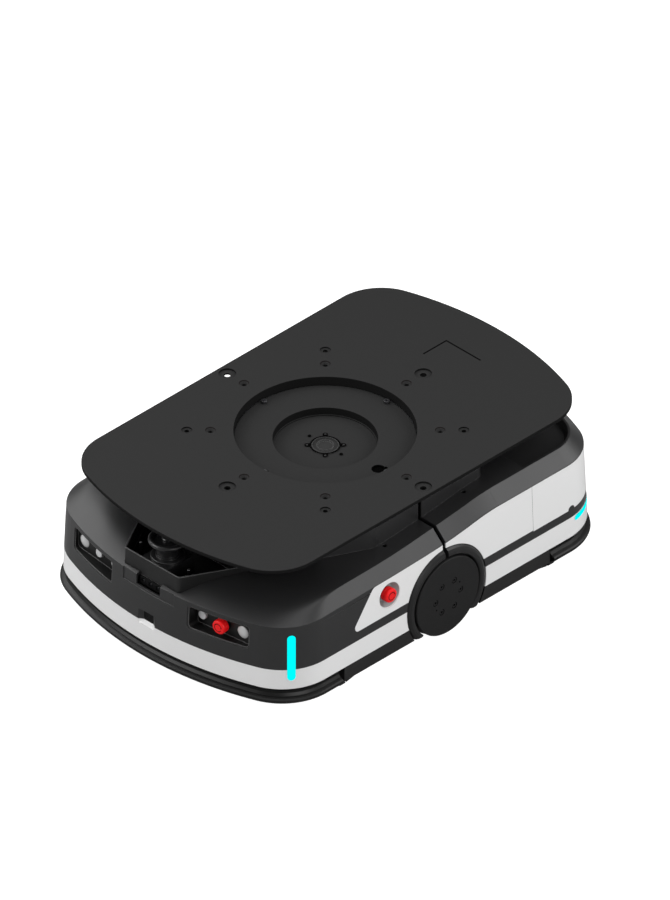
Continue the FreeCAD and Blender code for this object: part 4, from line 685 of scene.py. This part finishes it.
def buildGrommet():
    # blind rubber plug that closes the cable hole in the ring round the centre cover
    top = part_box("turntable_ring")[1][2] - grommet["under"]
    radius, soft = grommet["radius"], grommet["soft"]
    bore = radius - grommet["lip"]
    profile = [(radius, -grommet["depth"]), (radius, -soft), (radius - soft, 0.0), (bore, -soft),
               (bore, -grommet["web"]), (0.0, -grommet["web"])]
    shape = bmesh.new()
    spinProfile(shape, profile, Matrix.Translation((0, grommet["y"], top)), grommet["steps"])
    meshPiece("cableGrommet", shape, "holeBlack", "lift_carriage")


cameraSlots = {"inner": 0.0286, "outer": 0.0308, "floor": -0.0006, "proud": 0.00006, "steps": 64, "ears": 4,
               "earStart": 45.0, "reach": 0.0415, "half": 0.0050, "lap": 0.0008, "earProud": 0.00009,
               "earSteps": 12, "pinOut": 0.0445, "pinRadius": 0.0036, "pinSteps": 24}
cameraScrews = {"circle": 0.0365, "radius": 0.0024, "height": 0.0004, "socket": 0.0011, "depth": 0.0003,
                "stand": 0.0004, "steps": 24}
# two thin raised bands on the code camera; the cameraGrey finish paints highlight lines along their edges
cameraRings = {"radii": (0.0268, 0.0176), "width": 0.0010, "top": 0.0003}


def buildCameraSlots():
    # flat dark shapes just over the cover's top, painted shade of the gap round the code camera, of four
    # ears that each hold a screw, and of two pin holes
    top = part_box("centre_cover")[1][2]
    centre = Matrix.Translation((0, 0, top))
    outer, half, floor, proud = (cameraSlots[key] for key in ("outer", "half", "floor", "proud"))
    shape = bmesh.new()
    addBand(shape, cameraSlots["inner"], outer, floor, proud, centre, cameraSlots["steps"])
    start = math.radians(cameraSlots["earStart"])
    middle = cameraSlots["reach"] - half
    turns = [math.pi * i / cameraSlots["earSteps"] for i in range(cameraSlots["earSteps"] + 1)]
    outline = [(outer - cameraSlots["lap"], -half)]
    outline += [(middle + half * math.sin(turn), -half * math.cos(turn)) for turn in turns]
    outline += [(outer - cameraSlots["lap"], half)]
    for ear in range(cameraSlots["ears"]):
        turned = Matrix.Rotation(start + ear * 2 * math.pi / cameraSlots["ears"], 4, "Z")
        addPrism(shape, centre @ turned, outline, floor, cameraSlots["earProud"])
    pin = [(cameraSlots["pinRadius"], floor), (cameraSlots["pinRadius"], proud), (0.0, proud)]
    for y in (cameraSlots["pinOut"], -cameraSlots["pinOut"]):
        spinProfile(shape, pin, Matrix.Translation((0, y, top)), cameraSlots["pinSteps"])
    meshPiece("cameraSlots", shape, "holeBlack", "lift_carriage")
    screws = bmesh.new()
    for x, y in ringOf(cameraSlots["ears"], cameraScrews["circle"], start):
        addSocketHead(screws, cameraScrews, Matrix.Translation((x, y, top + cameraScrews["stand"])))
    meshPiece("cameraScrews", screws, "screwBlack", "lift_carriage")
    rings = bmesh.new()
    for radius in cameraRings["radii"]:
        inside = radius - cameraRings["width"]
        addBand(rings, radius, inside, floor, cameraRings["top"], centre, cameraSlots["steps"])
    meshPiece("cameraRings", rings, "cameraGrey", "lift_carriage")


buildPlateMark()
buildSinkRims()
buildGrommet()
buildCameraSlots()
print("plate mark, grommet and camera slots")

eyeLens = {"apart": 0.005, "drop": 0.002, "radius": 0.0029, "sink": 0.0009, "dome": 0.0007, "domeSteps": 5,
           "steps": 24}
depthLens = {"apart": 0.020, "radius": 0.0030, "sink": 0.0018, "dome": 0.0009, "domeSteps": 5, "steps": 24}
depthRim = {"radius": 0.0056, "lip": 0.0005, "seat": 0.0003, "seatTop": 0.0002, "foot": -0.0002,
            "steps": 32}


def addLens(shape, lens, place):
    # low dome, from its rim to its middle
    radius, dome, steps = lens["radius"], lens["dome"], lens["domeSteps"]
    turns = [math.pi / 2 * i / steps for i in range(1, steps)]
    profile = [(radius * math.cos(turn), dome * math.sin(turn)) for turn in turns]
    spinProfile(shape, [(radius, 0.0)] + profile + [(0.0, dome)], place, lens["steps"])


def buildLenses():
    eyes = bmesh.new()
    place = faceFrame("front_camera", (1, 0, 0))
    for side in (-1, 1):
        addLens(eyes, eyeLens, shifted(place, side * eyeLens["apart"], -eyeLens["drop"], -eyeLens["sink"]))
    meshPiece("eyeLenses", eyes, "cavityBlack", "front_chassis")
    lenses = bmesh.new()
    rims = bmesh.new()
    place = faceFrame("depth_camera", (1, 0, 0))
    rim = [(depthRim["radius"], 0.0), (depthRim["radius"], depthRim["lip"]),
           (depthLens["radius"] + depthRim["seat"], depthRim["seatTop"]),
           (depthLens["radius"], depthRim["foot"])]
    for step in (-1, 0, 1):
        spot = shifted(place, step * depthLens["apart"], 0.0, -depthLens["sink"])
        addLens(lenses, depthLens, spot)
        spinProfile(rims, rim, spot, depthRim["steps"])
    meshPiece("depthLenses", lenses, "lensCoated", "front_chassis")
    meshPiece("depthRims", rims, "cavityBlack", "front_chassis")


buildLenses()
print("camera lenses")

casterBolts = {"radius": 0.0062, "height": 0.004, "sink": 0.0008, "washer": 0.00744, "washerTop": 0.0006,
               "soft": 0.001, "crown": 0.0006, "steps": 36}


def buildCasterBolts():
    # hexagon head and washer at both ends of each caster's axle
    radius, height, washer, thick = (casterBolts[key] for key in ("radius", "height", "washer", "washerTop"))
    disc = [(washer, 0.0), (washer, thick)]
    hexagon = [(radius, thick), (radius, height - casterBolts["soft"]),
               (radius - casterBolts["crown"], height), (0.0, height)]
    for end in ("front", "rear"):
        for side in ("left", "right"):
            low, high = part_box(end + "_" + side + "_caster_wheel")
            forkLow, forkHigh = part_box(end + "_" + side + "_caster_fork")
            x = (low[0] + high[0]) / 2
            z = (low[2] + high[2]) / 2
            shape = bmesh.new()
            for y, turn in ((forkHigh[1], -math.pi / 2), (forkLow[1], math.pi / 2)):
                place = Matrix.Translation((x, y, z)) @ Matrix.Rotation(turn, 4, "X")
                spinProfile(shape, disc + hexagon, shifted(place, 0, 0, -casterBolts["sink"]),
                            casterBolts["steps"], len(disc))
            meshPiece(end + side.capitalize() + "CasterBolts", shape, "brightSteel",
                      end + "_" + side + "_swivel")


buildCasterBolts()
print("caster bolts")

# orthographic view from the front left, equal on all three axes; the shifts move its aim off the origin
view = {"right": Vector((-1, 1, 0)).normalized(), "up": Vector((-1, -1, 2)).normalized(),
        "back": Vector((1, 1, 1)).normalized(), "shiftRight": 0.01925, "shiftUp": 0.22301,
        "height": 1.7865, "distance": 6.0, "clipEnd": 50.0}


def buildCamera():
    data = bpy.data.cameras.new("productCamera")
    data.type = "ORTHO"
    data.ortho_scale = view["height"]
    data.clip_end = view["clipEnd"]
    camera = bpy.data.objects.new("productCamera", data)
    bpy.context.scene.collection.objects.link(camera)
    camera.matrix_world = Matrix((view["right"], view["up"], view["back"])).transposed().to_4x4()
    target = view["right"] * view["shiftRight"] + view["up"] * view["shiftUp"]
    camera.location = target + view["back"] * view["distance"]
    bpy.context.scene.camera = camera


studio = {"lightStrength": 0.24, "lightColour": (1.0, 1.0, 1.0), "shownStrength": 1.0, "aimHeight": 0.15,
          "lamps": [
              {"name": "overheadSoft", "place": (0.1, -0.1, 3.0), "size": 2.6, "power": 36.0},
              {"name": "frontSoft", "place": (2.4, -1.3, 1.4), "size": 1.8, "power": 42.0},
              {"name": "leftSoft", "place": (0.8, 2.7, 1.3), "size": 1.8, "power": 36.0},
              {"name": "bevelSoft", "place": (-2.2, 1.7, 1.9), "size": 2.1, "power": 50.0},
              {"name": "roofSoft", "place": (0.35, -2.35, 2.2), "size": 1.9, "power": 40.0},
          ]}


def showMix(tree, mask, under, over, output):
    # one shader where the mask is 0 and another where it is 1, into the tree's output
    mix = tree.nodes.new("ShaderNodeMixShader")
    for slot, value in enumerate((mask, under, over)):
        tree.links.new(value, mix.inputs[slot])
    tree.links.new(mix.outputs[0], tree.nodes[output].inputs["Surface"])


def buildWorld():
    # dim even light on the robot, plain white where the camera looks past it
    world = bpy.data.worlds.new("studioWorld")
    world.use_nodes = True
    tree = world.node_tree
    base = tree.nodes["Background"]
    base.inputs["Color"].default_value = (*studio["lightColour"], 1)
    base.inputs["Strength"].default_value = studio["lightStrength"]
    white = tree.nodes.new("ShaderNodeBackground")
    white.inputs["Color"].default_value = (1, 1, 1, 1)
    white.inputs["Strength"].default_value = studio["shownStrength"]
    path = tree.nodes.new("ShaderNodeLightPath")
    seen = addMath(tree, "ADD", path.outputs["Is Camera Ray"], path.outputs["Is Transmission Ray"], True)
    showMix(tree, seen, base.outputs[0], white.outputs[0], "World Output")
    bpy.context.scene.world = world


def buildLamps():
    for lamp in studio["lamps"]:
        data = bpy.data.lights.new(lamp["name"], "AREA")
        data.shape = "SQUARE"
        data.size = lamp["size"]
        data.energy = lamp["power"]
        holder = bpy.data.objects.new(lamp["name"], data)
        bpy.context.scene.collection.objects.link(holder)
        place = Vector(lamp["place"])
        aim = Vector((0, 0, studio["aimHeight"])) - place
        holder.location = place
        holder.rotation_euler = aim.to_track_quat("-Z", "Y").to_euler()


studioFloor = {"size": 6.0, "cells": 8, "under": 0.0005, "bounce": 0.35, "roughness": 0.9, "shown": 0.96}


def buildFloor():
    # grey to the light, so that little bounces back, and white to the camera
    shape = bmesh.new()
    bmesh.ops.create_grid(shape, x_segments=studioFloor["cells"], y_segments=studioFloor["cells"],
                          size=studioFloor["size"])
    mesh = bpy.data.meshes.new("studioFloor")
    shape.to_mesh(mesh)
    shape.free()
    floor = bpy.data.objects.new("studioFloor", mesh)
    bpy.context.scene.collection.objects.link(floor)
    floor.location.z = -studioFloor["under"]
    paint = bpy.data.materials.new("floorWhite")
    paint.use_nodes = True
    tree = paint.node_tree
    shader = tree.nodes["Principled BSDF"]
    shader.inputs["Base Color"].default_value = (*[studioFloor["bounce"]] * 3, 1)
    shader.inputs["Roughness"].default_value = studioFloor["roughness"]
    shader.inputs["Specular IOR Level"].default_value = 0.0
    glow = tree.nodes.new("ShaderNodeEmission")
    glow.inputs["Strength"].default_value = studioFloor["shown"]
    both = tree.nodes.new("ShaderNodeAddShader")
    tree.links.new(shader.outputs[0], both.inputs[0])
    tree.links.new(glow.outputs[0], both.inputs[1])
    path = tree.nodes.new("ShaderNodeLightPath")
    showMix(tree, path.outputs["Is Camera Ray"], shader.outputs[0], both.outputs[0], "Material Output")
    mesh.materials.append(paint)


buildCamera()
buildWorld()
buildLamps()
buildFloor()
bpy.context.scene.view_settings.view_transform = "Standard"
print("camera, light and floor")
